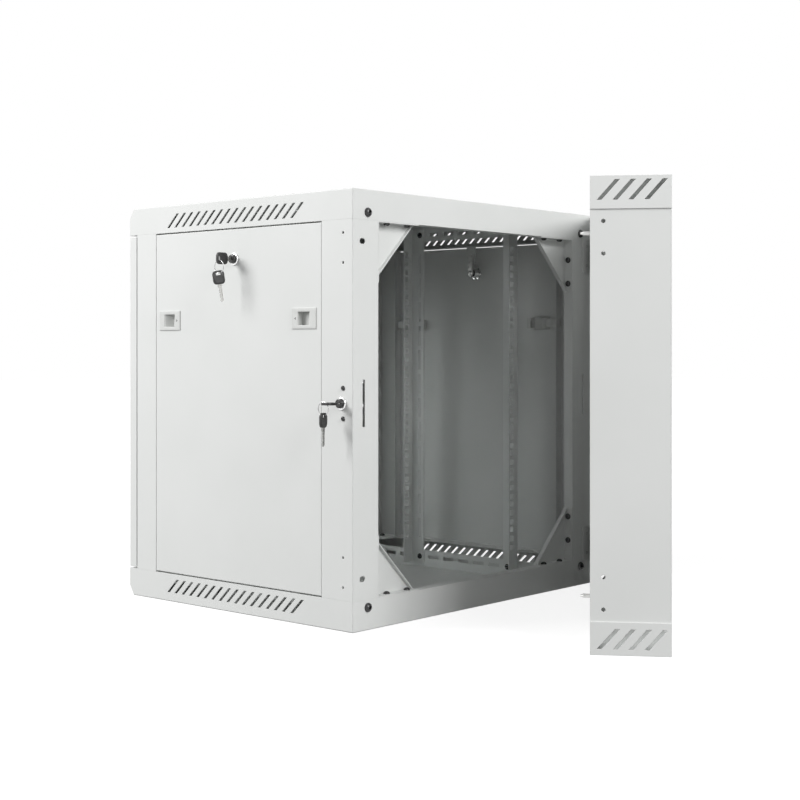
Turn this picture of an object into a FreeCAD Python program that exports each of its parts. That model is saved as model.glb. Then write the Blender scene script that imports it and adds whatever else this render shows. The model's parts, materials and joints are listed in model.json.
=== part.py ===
import FreeCAD, Part
import math
import os
from FreeCAD import Placement, Rotation, Vector

# A 12U double-section wall cabinet. The wall section is fixed to the wall and the main body swings
# from it on two butt hinges. Millimetres, +Z up. Every piece is drawn with the main body's rear face
# at y = 0, its middle at x = 0 and its base at z = 0. The wall section is drawn shut against that
# face and then swung open. At the end everything moves so that the origin is the middle of the
# wall-fixing holes, on the face that meets the wall.

# ---- driving dimensions ----
width = 600.0
height = 635.0
main_depth = 505.0
section_depth = 107.0
section_gap = 3.0
rest_angle = 33.5

steel = 1.5
panel_steel = 1.2
rail_steel = 2.0
bend = 1.2

frame_height = 44.0
nose_run = 10.0
nose_rise = 16.0
side_lip = 18.0
rear_lip = 18.0
front_lip = 35.0

rear_post_depth = 62.0
rear_post_width = 54.0
front_post_depth = 49.0
front_post_width = 50.0
front_post_set_back = 19.0
post_return = 16.5
post_tab = 22.0

door_thickness = 17.0
door_gap = 3.0
panel_fit = 0.5
panel_rise = 2.0
panel_flange = 12.0

rack_unit = 44.45
rack_hole_x = 232.55
rack_hole = 9.5
rail_end_gap = 9.0
rail_inner_x = 225.0
channel_x = 249.0
front_rail_set_back = 141.0
rear_rail_set_back = 119.0

gusset_leg = 90.0
gusset_set_back = 16.0

hinge_pin_radius = 2.0
hinge_knuckle_radius = 3.5
hinge_leaf = 1.4
hinge_leaf_width = 25.0
hinge_leaf_height = 59.0
hinge_leaf_start = 41.0

wall_hole_spacing = 400.0
wall_hole_radius = 4.5

lock_rise = 9.5
rear_lock_set_back = 22.0
side_lock_drop = 92.0
door_lock_margin = 14.0
bezel_radius = 9.5
bezel_thickness = 2.5
bezel_edge = 0.7
thread_radius = 8.0
barrel_radius = 7.0
barrel_proud = 7.0
running_fit = 0.05
short_lock = 18.5
long_lock = 21.5
cam_thickness = 2.0
cam_reach = 34.0
cam_half = 6.0
cam_screw_radius = 4.0
hook_thickness = 3.0
hook_hub = 9.0
hook_start = -145.0
hook_sweep = 70.0
hook_steps = 7
hook_inner = 31.0
hook_outer = 39.0
hook_slot_half = 34.0
hook_slot_width = 5.0
hook_rim_top = 15.0
hook_rim_bottom = 31.0

latch_drop = 185.0
latch_length = 50.0
latch_height = 31.0
latch_edge = 10.0
latch_travel = 8.0
latch_plate = 1.5
cup_length = 27.0
cup_height = 22.0
cup_depth = 10.0
bolt_width = 14.0
bolt_thickness = 2.0
bolt_reach = 5.0

key_bow_length = 21.0
key_bow_width = 18.0
key_bow_thickness = 3.5
key_length = 48.0
key_blade_thickness = 1.8
key_reach = 36.0
key_slot = (4.0, 8.0)
key_end_bar = 3.0
ring_radius = 10.0
ring_wire = 0.8
ring_seat = 0.2
lock_sides = 12
lock_nut_radius = 12.5
lock_nut = 3.0
thread_short = 2.5
keyway_half = 3.3
lock_hole_margin = 0.2

frame_bolt_radius = 3.0
nut_flat = 10.0
nut_height = 5.0
bolt_end = 1.5
shank_sides = 4

# ---- sizes that follow ----
half = width / 2
middle = height / 2
post_foot = frame_height
post_head = height - frame_height
post_front = main_depth - front_post_set_back
rear_post_x = half - rear_post_width
front_post_x = half - front_post_width
panel_back = -rear_post_depth - panel_fit
panel_front = -post_front + front_post_depth + panel_fit
panel_foot = frame_height + panel_rise
panel_head = height - frame_height - panel_rise
rack_units = int((height - 2 * frame_height) / rack_unit)
front_rail_y = front_rail_set_back - main_depth
rear_rail_y = -rear_rail_set_back
lock_height = middle + lock_rise
rear_lock_y = -rear_lock_set_back
side_lock_y = (panel_back + panel_front) / 2
side_lock_z = height - side_lock_drop
door_lock_x = front_post_x - door_lock_margin
latch_z = height - latch_drop
lock_hole_radius = thread_radius + lock_hole_margin
hinge_x = -half - hinge_knuckle_radius
hinge_y = section_gap / 2
wall_face = section_gap + section_depth
section_side_x = half - steel
X = Vector(1, 0, 0)
Y = Vector(0, 1, 0)
Z = Vector(0, 0, 1)

nodes = {}


# ---- helpers ----
def box(x0, x1, y0, y1, z0, z1):
    low = Vector(min(x0, x1), min(y0, y1), min(z0, z1))
    return Part.makeBox(abs(x1 - x0), abs(y1 - y0), abs(z1 - z0), low)


def placed(shape, start, direction):
    shape.Placement = Placement(Vector(*start), Rotation(Z, Vector(*direction)))
    return shape


def rod(direction, start, radius, length):
    return Part.makeCylinder(radius, length, Vector(*start), direction)


def regular(radius, sides):
    """Corners of a regular outline whose corners lie at radius."""
    corners = []
    for corner in range(sides):
        angle = 2 * math.pi * corner / sides
        corners.append((radius * math.cos(angle), radius * math.sin(angle)))
    return corners


def peg(direction, start, radius, length, sides):
    """A small round bar drawn with a few flat sides inside its radius."""
    return placed(prism("z", 0, length, regular(radius, sides)), start, direction)


def hole(direction, start, radius, length, sides=6):
    """A small round hole drawn with a few flat sides outside its radius."""
    outside = radius / math.cos(math.pi / sides)
    return placed(prism("z", 0, length, regular(outside, sides)), start, direction)


def prism(axis, start, end, outline):
    """A closed outline drawn in the two other coordinates, in their order, and drawn out along axis."""
    places = {
        "x": lambda a, b: Vector(start, a, b),
        "y": lambda a, b: Vector(a, start, b),
        "z": lambda a, b: Vector(a, b, start),
    }[axis]
    points = [places(a, b) for a, b in outline]
    face = Part.Face(Part.makePolygon(points + points[:1]))
    return face.extrude({"x": X, "y": Y, "z": Z}[axis] * (end - start))


def join(pieces):
    return pieces[0].fuse(pieces[1:]).removeSplitter()


def cut(solid, tools):
    return solid.cut(tools)


def mirror_x(shape):
    return shape.mirror(Vector(0, 0, 0), X)


def mirror_z(shape):
    return shape.mirror(Vector(0, 0, middle), Z)


def turned(shape, centre, axis, degrees):
    copy = shape.copy()
    copy.rotate(Vector(*centre), axis, degrees)
    return copy


def moved(shape, x, y, z):
    copy = shape.copy()
    copy.translate(Vector(x, y, z))
    return copy


def both_ends(shape):
    return [shape, mirror_z(shape)]


def both_sides(shape):
    return [shape, mirror_x(shape)]


def group(solids):
    return Part.makeCompound(solids)


def slanted_slots(side, first_y, z0, z1, lean, pitch, count, slot_width):
    """Slanted vents through a side wall, leaning toward the wall as they rise."""
    reach = (side * (half - 2 * steel), side * (half + steel))
    slots = []
    for number in range(count):
        y = first_y + number * pitch
        outline = [(y, z0), (y + slot_width, z0), (y + lean + slot_width, z1), (y + lean, z1)]
        slots.append(prism("x", min(reach), max(reach), outline))
    return slots


def pan_bolt(start, direction, head_radius, head_height, shank_radius, length):
    """A bolt whose start lies under its head and whose direction points out of the head."""
    head = prism("z", 0, head_height, regular(head_radius, 6))
    shank = prism("z", -length, 0, regular(shank_radius, shank_sides))
    return placed(join([head, shank]), start, direction)


def nutted_bolt(start, direction, head, shank_radius, grip):
    """A bolt with its hexagon nut run up on the far side of what it grips."""
    bolt = pan_bolt((0, 0, 0), (0, 0, 1), *head, shank_radius, grip + nut_height + bolt_end)
    nut = prism("z", -grip - nut_height, -grip, regular(nut_flat / math.sqrt(3), 6))
    return placed(join([bolt, nut]), start, direction)


# ---- frames: top and bottom pans of the main body ----
vent_count = 17
vent_pitch = 17.6
vent_lean = 23.0
vent_width = 5.8
vent_shift = 1.4
vent_low = 14.0
vent_high = 36.0
frame_bolt_x = half - 31.3
frame_bolt_z = 33.0
frame_bolt_clearance = 0.25
entry_half = 150.0
entry_rear = -45.0
entry_front = -115.0
cover_margin = 12.0
catch_width = 20.0
catch_drop = 31.0
hook_tab_width = 20.0
hook_tab_x = half - 8.0
hook_tab_spread = 120.5
hook_tab_places = (side_lock_y - hook_tab_spread, side_lock_y + hook_tab_spread)
hook_slot_half_length = 12.0
foot_bolt = (front_post_x + 25.0, 24.0 - post_front)
door_pin = (8.0 - half, 7.0 - main_depth)
door_pin_radius = 3.0
fan_places = (-95.0, 95.0)
fan_y = -main_depth / 2 - 17.5
fan_slots = 5
fan_slot_pitch = 20.0
fan_slot_half = 3.0
fan_radius = 52.0
vent_row = (vent_count - 1) * vent_pitch + vent_lean + vent_width
vent_first_y = -(main_depth + vent_row) / 2 - vent_shift


def frame_outline():
    return [
        (-main_depth + nose_run, 0),
        (0, 0),
        (0, frame_height),
        (-main_depth, frame_height),
        (-main_depth, nose_rise),
    ]


def frame_pan():
    """The bottom pan: a folded tray with a lip round its open side and notches for the rear posts."""
    outer = prism("x", -half, half, frame_outline())
    folds = [edge for edge in outer.Edges if edge.BoundBox.ZMin < frame_height - 1]
    outer = outer.makeChamfer(bend, folds)
    nose = math.hypot(nose_run, nose_rise)
    slope_base = steel * (nose - nose_run) / nose_rise
    slope_side = steel * (nose - nose_rise) / nose_run
    inner = [
        (-main_depth + nose_run + slope_base, steel),
        (-steel, steel),
        (-steel, frame_height - steel),
        (-main_depth + steel, frame_height - steel),
        (-main_depth + steel, nose_rise + slope_side),
    ]
    room = prism("x", -half + steel, half - steel, inner)
    lip = (frame_height - 2 * steel, frame_height + 1)
    panel_line = -post_front + front_post_depth
    wide = box(side_lip - half, half - side_lip, panel_line, -rear_lip, *lip)
    front = box(-rear_post_x, rear_post_x, front_lip - main_depth, panel_line, *lip)
    notch = box(rear_post_x, half - steel, -rear_post_depth, -steel, *lip)
    tools = [room, wide, front] + both_sides(notch)
    clear_radius = frame_bolt_radius + frame_bolt_clearance
    tools += both_sides(hole(Y, (frame_bolt_x, -steel - 1, frame_bolt_z), clear_radius, 4))
    pan = cut(outer, tools)
    small = []
    small += both_sides(hole(Z, (*foot_bolt, lip[0]), frame_bolt_radius, 6, 6))
    small.append(hole(Z, (*door_pin, lip[0]), door_pin_radius + running_fit, 6, 8))
    small.append(box(-entry_half, entry_half, entry_front, entry_rear, -1, steel + 1))
    for sign in (-1, 1):
        for y in hook_tab_places:
            near = y - hook_slot_half_length
            far = y + hook_slot_half_length
            small.append(box(sign * (hook_tab_x - 1), sign * (hook_tab_x + 2.5), near, far, *lip))
    return cut(pan, small)


def frame_vents(z0, z1):
    slots = []
    for side in (-1, 1):
        slots += slanted_slots(side, vent_first_y, z0, z1, vent_lean, vent_pitch, vent_count, vent_width)
    return slots


def fan_vents():
    """Two round fields of straight slots in the roof, one under each fan place."""
    slots = []
    for x in fan_places:
        for number in range(fan_slots):
            offset = (number - (fan_slots - 1) / 2) * fan_slot_pitch
            left = x + offset - fan_slot_half
            right = x + offset + fan_slot_half
            reach = math.sqrt(fan_radius**2 - offset**2)
            slots.append(box(left, right, fan_y - reach, fan_y + reach, -1, steel + 1))
    return slots


def make_frames():
    pan = frame_pan()
    nodes["bottom_frame"] = cut(pan, frame_vents(vent_low, vent_high))
    roof = mirror_z(cut(pan, fan_vents()))
    catch_x = half - side_lip
    catch = box(
        catch_x,
        catch_x + steel,
        side_lock_y - catch_width / 2,
        side_lock_y + catch_width / 2,
        post_head - catch_drop,
        post_head + steel,
    )
    roof = join([roof] + both_sides(catch))
    nodes["top_frame"] = cut(roof, frame_vents(height - vent_high, height - vent_low))


def make_entry_covers():
    cover = box(
        -entry_half - cover_margin,
        entry_half + cover_margin,
        entry_front - cover_margin,
        entry_rear + cover_margin,
        steel,
        steel + panel_steel,
    )
    nodes["cable_entry_covers"] = group(both_ends(cover))


# ---- posts ----
post_hole_y = -19.2
post_hole_radius = 1.9
post_hole_steps = (19.0, 62.0)
lock_screw_step = 22.0
lock_screw_radius = 2.7
locating_x = half - 20.0
locating_z = 75.0
locating_slot = (11.0, 8.0)
hook_x = half - 23.0
bolt_hole_margin = 1.0
bolt_depth = 2.0


def slot_hole(x, z, slot_length, slot_width, y0, y1):
    """An obround hole through a rear face, long way across."""
    straight = (slot_length - slot_width) / 2
    turn = slot_width / 2 * math.tan(math.radians(22.5))
    across = slot_width / 2 + straight
    outline = [
        (x - across, z - turn),
        (x - straight - turn, z - slot_width / 2),
        (x + straight + turn, z - slot_width / 2),
        (x + across, z - turn),
        (x + across, z + turn),
        (x + straight + turn, z + slot_width / 2),
        (x - straight - turn, z + slot_width / 2),
        (x - across, z + turn),
    ]
    return prism("y", y0, y1, outline)


def latch_bolt_hole(y0, y1):
    depth = half - panel_steel - cup_depth + bolt_depth
    near = depth - bolt_hole_margin
    far = depth + bolt_thickness + bolt_hole_margin
    tall = bolt_width / 2 + bolt_hole_margin
    return box(near, far, y0, y1, latch_z - tall, latch_z + tall)


def rear_post():
    face = box(rear_post_x, half, -steel, 0, post_foot, post_head)
    side = box(half - steel, half, -rear_post_depth, 0, post_foot, post_head)
    corner = join([face, side])
    fold = [e for e in corner.Edges if e.BoundBox.XMin > half - 0.01 and e.BoundBox.YMin > -0.01]
    corner = corner.makeChamfer(bend, fold)
    inner_return = box(rear_post_x, rear_post_x + steel, -rear_lip, 0, post_foot, post_head)
    edge = -rear_post_depth
    side_return = box(half - post_return, half, edge, edge + steel, post_foot, post_head)
    tab = (post_foot - post_tab, post_foot + 16)
    rear_tab = box(rear_post_x + 4, half - 5, -2 * steel, -steel, *tab)
    side_tab = box(half - 2 * steel, half - steel, edge + 8, -8, *tab)
    pieces = [corner, inner_return, side_return] + both_ends(rear_tab) + both_ends(side_tab)
    post = join(pieces)
    across = (half - 3 * steel, 4 * steel)
    holes = []
    for step in post_hole_steps:
        low = hole(X, (across[0], post_hole_y, post_foot + step), post_hole_radius, across[1])
        holes += both_ends(low)
    for sign in (-1, 1):
        z = lock_height + sign * lock_screw_step
        holes.append(hole(X, (across[0], post_hole_y, z), lock_screw_radius, across[1]))
    clear_radius = frame_bolt_radius + frame_bolt_clearance
    holes += both_ends(hole(Y, (frame_bolt_x, -3 * steel, frame_bolt_z), clear_radius, 4 * steel))
    for z in (locating_z, height - locating_z):
        holes.append(slot_hole(locating_x, z, *locating_slot, -2 * steel, steel))
    half_slot = hook_slot_width / 2
    holes.append(
        box(
            hook_x - half_slot,
            hook_x + half_slot,
            -2 * steel,
            steel,
            lock_height - hook_slot_half,
            lock_height + hook_slot_half,
        )
    )
    holes.append(latch_bolt_hole(-rear_post_depth - 1, steel - rear_post_depth + 1))
    return cut(post, holes)


def front_post():
    face = box(front_post_x, half, -post_front, steel - post_front, post_foot, post_head)
    back = -post_front + front_post_depth
    side = box(half - steel, half, -post_front, back, post_foot, post_head)
    corner = join([face, side])
    fold = [e for e in corner.Edges if e.BoundBox.XMin > half - 0.01 and e.BoundBox.YMax < 1 - post_front]
    corner = corner.makeChamfer(bend, fold)
    side_return = box(half - post_return, half, back - steel, back, post_foot, post_head)
    foot = box(front_post_x + 4, half - steel, 2 - post_front, back, post_foot, post_foot + steel)
    post = join([corner, side_return] + both_ends(foot))
    holes = [latch_bolt_hole(back - steel - 1, back + 1)]
    holes += both_ends(hole(Z, (*foot_bolt, post_foot - 1), frame_bolt_radius, 4, 6))
    return cut(post, holes)


def make_posts():
    post = rear_post()
    start = (half - 3 * steel, rear_lock_y, lock_height)
    lock_hole = hole(X, start, lock_hole_radius, 6 * steel, lock_sides)
    nodes["rear_post_right"] = cut(post, [lock_hole])
    nodes["rear_post_left"] = mirror_x(post)
    front = front_post()
    nodes["front_post_right"] = front
    nodes["front_post_left"] = mirror_x(front)


# ---- corner gussets across the rear opening ----
gusset_fold = 6.0


def gusset():
    """The bottom right gusset: a set-back plate with three flanges folded toward the rear face."""
    corner_x = rear_post_x
    back = -gusset_set_back
    plate_outline = [
        (corner_x, post_foot),
        (corner_x, post_foot + gusset_leg),
        (corner_x - gusset_leg, post_foot),
    ]
    plate = prism("y", back - steel, back, plate_outline)
    flat_flange = box(corner_x - gusset_leg, corner_x, back - steel, 0, post_foot, post_foot + steel)
    tall_flange = box(corner_x - steel, corner_x, back - steel, 0, post_foot, post_foot + gusset_leg)
    rise = steel * math.sqrt(2)
    fold_outline = [
        (corner_x - gusset_leg + rise, post_foot),
        (corner_x, post_foot + gusset_leg - rise),
        (corner_x, post_foot + gusset_leg),
        (corner_x - gusset_leg, post_foot),
    ]
    fold = prism("y", back, back + gusset_fold, fold_outline)
    return join([plate, flat_flange, tall_flange, fold])


def make_gussets():
    lower = gusset()
    upper = mirror_z(lower)
    nodes["gusset_bottom_right"] = lower
    nodes["gusset_bottom_left"] = mirror_x(lower)
    nodes["gusset_top_right"] = upper
    nodes["gusset_top_left"] = mirror_x(upper)


# ---- depth channels and rack rails ----
channel_height = 30.5
channel_base = 22.0
channel_front_set_back = 37.0
channel_rear_set_back = 22.0
channel_slot_margin = 16.5
channel_front = channel_front_set_back - main_depth
channel_rear = -channel_rear_set_back
channel_slot_z = 20.0
channel_slot_pitch = 35.0
channel_first_slot = channel_front + channel_slot_margin
channel_slot_count = int((channel_rear - channel_first_slot) / channel_slot_pitch)
channel_slot = (24.0, 6.4)
rack_hole_steps = (6.35, 22.225, 38.1)
rail_slot_height = 36.0
rail_slot_half = 3.2
rail_slot_offset = 21.0
rail_flange = 30.0


def depth_channel():
    upright = box(channel_x, channel_x + steel, channel_front, channel_rear, steel, steel + channel_height)
    base = box(channel_x, channel_x + channel_base, channel_front, channel_rear, steel, 2 * steel)
    channel = join([upright, base])
    long_half = channel_slot[0] / 2
    tall_half = channel_slot[1] / 2
    low = channel_slot_z - tall_half
    high = channel_slot_z + tall_half
    slots = []
    for number in range(channel_slot_count):
        y = channel_first_slot + number * channel_slot_pitch
        slots.append(box(channel_x - 1, channel_x + steel + 1, y - long_half, y + long_half, low, high))
    return cut(channel, slots)


def rack_rail(y_face, toward, side_slots):
    """An L rail. Its hole flange lies at y_face and its side flange runs toward the other rail."""
    foot = rail_end_gap
    head = height - rail_end_gap
    hole_flange = box(rail_inner_x, channel_x, y_face, y_face + toward * rail_steel, foot, head)
    side_flange = box(channel_x - rail_steel, channel_x, y_face, y_face + toward * rail_flange, foot, head)
    rail = join([hole_flange, side_flange])
    holes = []
    first = middle - rack_units * rack_unit / 2
    side_y = y_face + toward * rail_slot_offset
    square = rack_hole / 2
    left = rack_hole_x - square
    right = rack_hole_x + square
    tall = rail_slot_height / 2
    for number in range(rack_units):
        base = first + number * rack_unit
        for step in rack_hole_steps:
            z = base + step
            holes.append(box(left, right, y_face - 3, y_face + 3, z - square, z + square))
        if side_slots:
            z = base + rack_unit / 2
            near = side_y - rail_slot_half
            far = side_y + rail_slot_half
            holes.append(box(channel_x - 2 * rail_steel, channel_x + 1, near, far, z - tall, z + tall))
    start = (channel_x - 2 * rail_steel, side_y, channel_slot_z)
    holes += both_ends(hole(X, start, frame_bolt_radius, 3 * rail_steel, shank_sides))
    return cut(rail, holes)


def make_rails():
    channel = depth_channel()
    for level, shape in (("bottom", channel), ("top", mirror_z(channel))):
        nodes["depth_channel_" + level + "_right"] = shape
        nodes["depth_channel_" + level + "_left"] = mirror_x(shape)
    for place, y_face, toward in (("front", front_rail_y, 1), ("rear", rear_rail_y, -1)):
        rail = rack_rail(y_face, toward, place == "front")
        nodes["rack_rail_" + place + "_right"] = rail
        nodes["rack_rail_" + place + "_left"] = mirror_x(rail)


# ---- fasteners of the main body ----
rail_head = (5.0, 3.6)
frame_head = (6.8, 5.0)
foot_bolt_length = 8.0


def make_bolts():
    start = (frame_bolt_x, 0, frame_bolt_z)
    rear = nutted_bolt(start, (0, 1, 0), frame_head, frame_bolt_radius, 2 * steel)
    start = (*foot_bolt, post_foot + steel)
    foot = pan_bolt(start, (0, 0, 1), *rail_head, frame_bolt_radius, foot_bolt_length)
    solids = []
    for solid in (rear, foot):
        for end in both_ends(solid):
            solids += both_sides(end)
    nodes["frame_bolts"] = group(solids)
    solids = []
    grip = rail_steel + steel
    for y_face, toward in ((front_rail_y, 1), (rear_rail_y, -1)):
        start = (channel_x - rail_steel, y_face + toward * rail_slot_offset, channel_slot_z)
        for end in both_ends(nutted_bolt(start, (-1, 0, 0), rail_head, frame_bolt_radius, grip)):
            solids += both_sides(end)
    nodes["rail_bolts"] = group(solids)


# ---- hinges between the wall section and the main body ----
knuckle_gap = 0.3


def hinge_leaf_plate(y0, y1, knuckle_bands):
    """A leaf at the lower hinge with its own knuckles, each band a (low, high) pair of heights."""
    z0 = hinge_leaf_start
    z1 = hinge_leaf_start + hinge_leaf_height
    plate = box(-half + 0.3, -half + hinge_leaf_width, y0, y1, z0, z1)
    pieces = [plate]
    for low, high in knuckle_bands:
        knuckle = peg(Z, (hinge_x, hinge_y, low), hinge_knuckle_radius, high - low, 10)
        web = box(hinge_x, -half + 0.4, y0, y1, low, high)
        pieces += [knuckle, web]
    leaf = join(pieces)
    fit_radius = hinge_pin_radius + running_fit
    bore = hole(Z, (hinge_x, hinge_y, z0 - 1), fit_radius, hinge_leaf_height + 2, 8)
    return cut(leaf, [bore])


def knuckle_bands():
    third = hinge_leaf_height / 3
    low = hinge_leaf_start
    outer = [(low, low + third), (low + 2 * third, low + 3 * third)]
    inner = [(low + third + knuckle_gap, low + 2 * third - knuckle_gap)]
    return outer, inner


def make_main_hinges():
    outer, inner = knuckle_bands()
    nodes["main_hinge_leaves"] = group(both_ends(hinge_leaf_plate(0, hinge_leaf, outer)))


# ---- locks: bezel and threaded body, barrel, cam ----
def lock_body(sheet, reach):
    """Face at x = 0 pointing along +X. The nut pulls the bezel against a sheet of the given thickness."""
    bezel = peg(X, (0, 0, 0), bezel_radius, bezel_thickness, lock_sides)
    rim = [e for e in bezel.Edges if e.BoundBox.XMin > bezel_thickness - 0.01]
    bezel = bezel.makeChamfer(bezel_edge, rim)
    thread = peg(X, (thread_short - reach, 0, 0), thread_radius, reach - thread_short, lock_sides)
    length = reach + bezel_thickness + 2
    bore = hole(X, (-reach - 1, 0, 0), barrel_radius + running_fit, length, lock_sides)
    nut = peg(X, (-sheet - lock_nut, 0, 0), lock_nut_radius, lock_nut, 6)
    return cut(join([bezel, thread, nut]), [bore])


def lock_barrel(reach, slot_upright):
    head = peg(X, (-reach, 0, 0), barrel_radius, reach + barrel_proud, lock_sides)
    head = head.makeChamfer(0.8, [e for e in head.Edges if e.BoundBox.XMin > barrel_proud - 0.01])
    depth = key_length - key_reach + 1
    thick = key_blade_thickness / 2 + running_fit
    slot = box(-depth, barrel_proud + 1, -thick, thick, -keyway_half, keyway_half)
    if not slot_upright:
        slot = turned(slot, (0, 0, 0), X, 90)
    screw_length = hook_thickness + 2.0
    screw = peg(X, (-reach - screw_length, 0, 0), cam_screw_radius, screw_length, 8)
    return join([cut(head, [slot]), screw])


def straight_cam(reach):
    """A flat cam pointing up, on the barrel's inner end."""
    x0 = -reach - cam_thickness
    corner = cam_half / 2
    outline = [
        (-cam_half, cam_reach - corner),
        (-corner, cam_reach),
        (corner, cam_reach),
        (cam_half, cam_reach - corner),
        (cam_half, -cam_half),
        (-cam_half, -cam_half),
    ]
    plate = prism("x", x0, -reach, outline)
    return cut(plate, [hole(X, (x0 - 1, 0, 0), cam_screw_radius, cam_thickness + 2)])


def at_angle(radius, degrees):
    angle = math.radians(degrees)
    return radius * math.cos(angle), radius * math.sin(angle)


def hook_cam(reach):
    """A C-shaped hook drawn unlocked. A quarter turn carries its arc out through the rear face."""
    x0 = -reach - hook_thickness
    angles = [hook_start + hook_sweep * step / hook_steps for step in range(hook_steps + 1)]
    outer = [at_angle(hook_outer, angle) for angle in angles]
    inner = [at_angle(hook_inner, angle) for angle in angles]
    arc = prism("x", x0, -reach, outer + inner[::-1])
    arm_outline = [
        at_angle(hook_hub, hook_start - 25),
        at_angle(hook_outer, hook_start),
        at_angle(hook_outer, hook_start + 14),
        at_angle(hook_hub, hook_start + 40),
    ]
    arm = prism("x", x0, -reach, arm_outline)
    hub = peg(X, (x0, 0, 0), hook_hub, hook_thickness, lock_sides)
    bore = hole(X, (x0 - 1, 0, 0), cam_screw_radius, hook_thickness + 2)
    return cut(join([hub, arm, arc]), [bore])


def key_shape():
    """A key lying along +X, bow outermost, its flat in the XZ plane; x = 0 is the bow's outer end."""
    corner = 4.0
    wide = key_bow_width / 2
    bow = box(-key_bow_length, 0, -key_bow_thickness / 2, key_bow_thickness / 2, -wide, wide)
    bow = bow.makeChamfer(corner, [e for e in bow.Edges if e.BoundBox.YLength > key_bow_thickness - 0.1])
    hole_end = -key_end_bar
    eye = box(hole_end - key_slot[0], hole_end, -5, 5, -key_slot[1] / 2, key_slot[1] / 2)
    thick = key_blade_thickness / 2
    outline = [
        (-key_bow_length + 1, 3.2),
        (-key_length + 2, 3.0),
        (-key_length, 1.2),
        (-key_length, -0.6),
        (-key_length + 4, -3.0),
        (-key_length + 8, -1.6),
        (-key_length + 12, -2.8),
        (-key_length + 16, -1.4),
        (-key_bow_length - 5, -3.2),
        (-key_bow_length + 1, -3.2),
    ]
    blade = prism("y", -thick, thick, outline)
    return cut(join([bow, blade]), [eye])


def ring_shape():
    """A key ring in the YZ plane with its top wire's middle at the origin."""
    start = (-ring_wire, 0, -ring_radius)
    outer = peg(X, start, ring_radius + ring_wire, 2 * ring_wire, 20)
    inner = hole(X, start, ring_radius - ring_wire, 2 * ring_wire, 20)
    return cut(outer, [inner])


def ring_drop(bar_half):
    """How far the middle of the ring's wire lies past a bar of this half width that hangs in it."""
    inner = ring_radius - ring_wire
    return ring_radius - math.sqrt(inner**2 - bar_half**2) + ring_seat


def hanging_key(yaw, side_step):
    """A spare key on the ring's lowest wire, which runs along Y through the origin, balanced below it."""
    key = key_shape()
    key.rotate(Vector(0, 0, 0), Y, -90)
    turn = math.radians(abs(yaw))
    along_wire = (key_bow_thickness / 2 + ring_wire * math.sin(turn)) / math.cos(turn)
    lift = key_end_bar + ring_drop(along_wire)
    key.translate(Vector(side_step, 0, lift))
    centre = key.Solids[0].CenterOfMass
    lean = math.degrees(math.atan2(centre.x, -centre.z))
    key.rotate(Vector(0, 0, 0), Y, lean)
    key.rotate(Vector(0, 0, 0), Z, yaw)
    return key


side_key_hole_x = half + key_reach - key_end_bar - key_slot[0] / 2
side_ring_top = side_lock_z - key_slot[1] / 2 + ring_drop(key_bow_thickness / 2)
side_spare_turn = (-26.0, 1.8)
rear_spare_turn = (16.0, 0.0)
rear_bar_y = rear_lock_y - (key_slot[1] / 2 + key_bow_width / 2) / 2
rear_ring_top = lock_height + key_bow_thickness / 2 + ring_drop((key_bow_width - key_slot[1]) / 4)


def make_side_locks():
    body = moved(lock_body(panel_steel, short_lock), half, side_lock_y, side_lock_z)
    barrel = moved(lock_barrel(short_lock, True), half, side_lock_y, side_lock_z)
    cam = moved(straight_cam(short_lock), half, side_lock_y, side_lock_z)
    nodes["side_lock_body_right"] = body
    nodes["side_lock_body_left"] = mirror_x(body)
    nodes["side_lock_barrel_right"] = group([barrel, cam])
    nodes["side_lock_barrel_left"] = group([mirror_x(barrel), mirror_x(cam)])
    nodes["side_key"] = moved(key_shape(), half + key_reach, side_lock_y, side_lock_z)
    nodes["side_key_ring"] = moved(ring_shape(), side_key_hole_x, side_lock_y, side_ring_top)
    spare = hanging_key(*side_spare_turn)
    nodes["side_spare_key"] = moved(spare, side_key_hole_x, side_lock_y, side_ring_top - 2 * ring_radius)


def make_rear_lock():
    for solid_name, solid in (
        ("rear_lock_body", lock_body(steel, long_lock)),
        ("rear_lock_barrel", lock_barrel(long_lock, False)),
        ("rear_lock_hook", hook_cam(long_lock)),
    ):
        nodes[solid_name] = moved(solid, half, rear_lock_y, lock_height)
    flat_key = turned(key_shape(), (0, 0, 0), X, 90)
    nodes["rear_key"] = moved(flat_key, half + key_reach, rear_lock_y, lock_height)
    nodes["rear_key_ring"] = moved(ring_shape(), side_key_hole_x, rear_bar_y, rear_ring_top)
    spare = hanging_key(*rear_spare_turn)
    nodes["rear_spare_key"] = moved(spare, side_key_hole_x, rear_bar_y, rear_ring_top - 2 * ring_radius)


# ---- side panels with their finger latches ----
latch_hole_margin = 0.5
hook_tab_drop = 8.0
plate_clearance = 0.05
cup_wall = 1.2
lug = (12.0, 2.5, 1.4)
arrow_size = 2.2
holder_gap = 1.5
holder_length = 8.0
holder_depth = 9.0


def latch_centres():
    """Middle of each latch along y, with the way its bolt points."""
    reach = latch_edge + latch_length / 2
    return (("front", panel_front + reach, -1), ("rear", panel_back - reach, 1))


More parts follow.
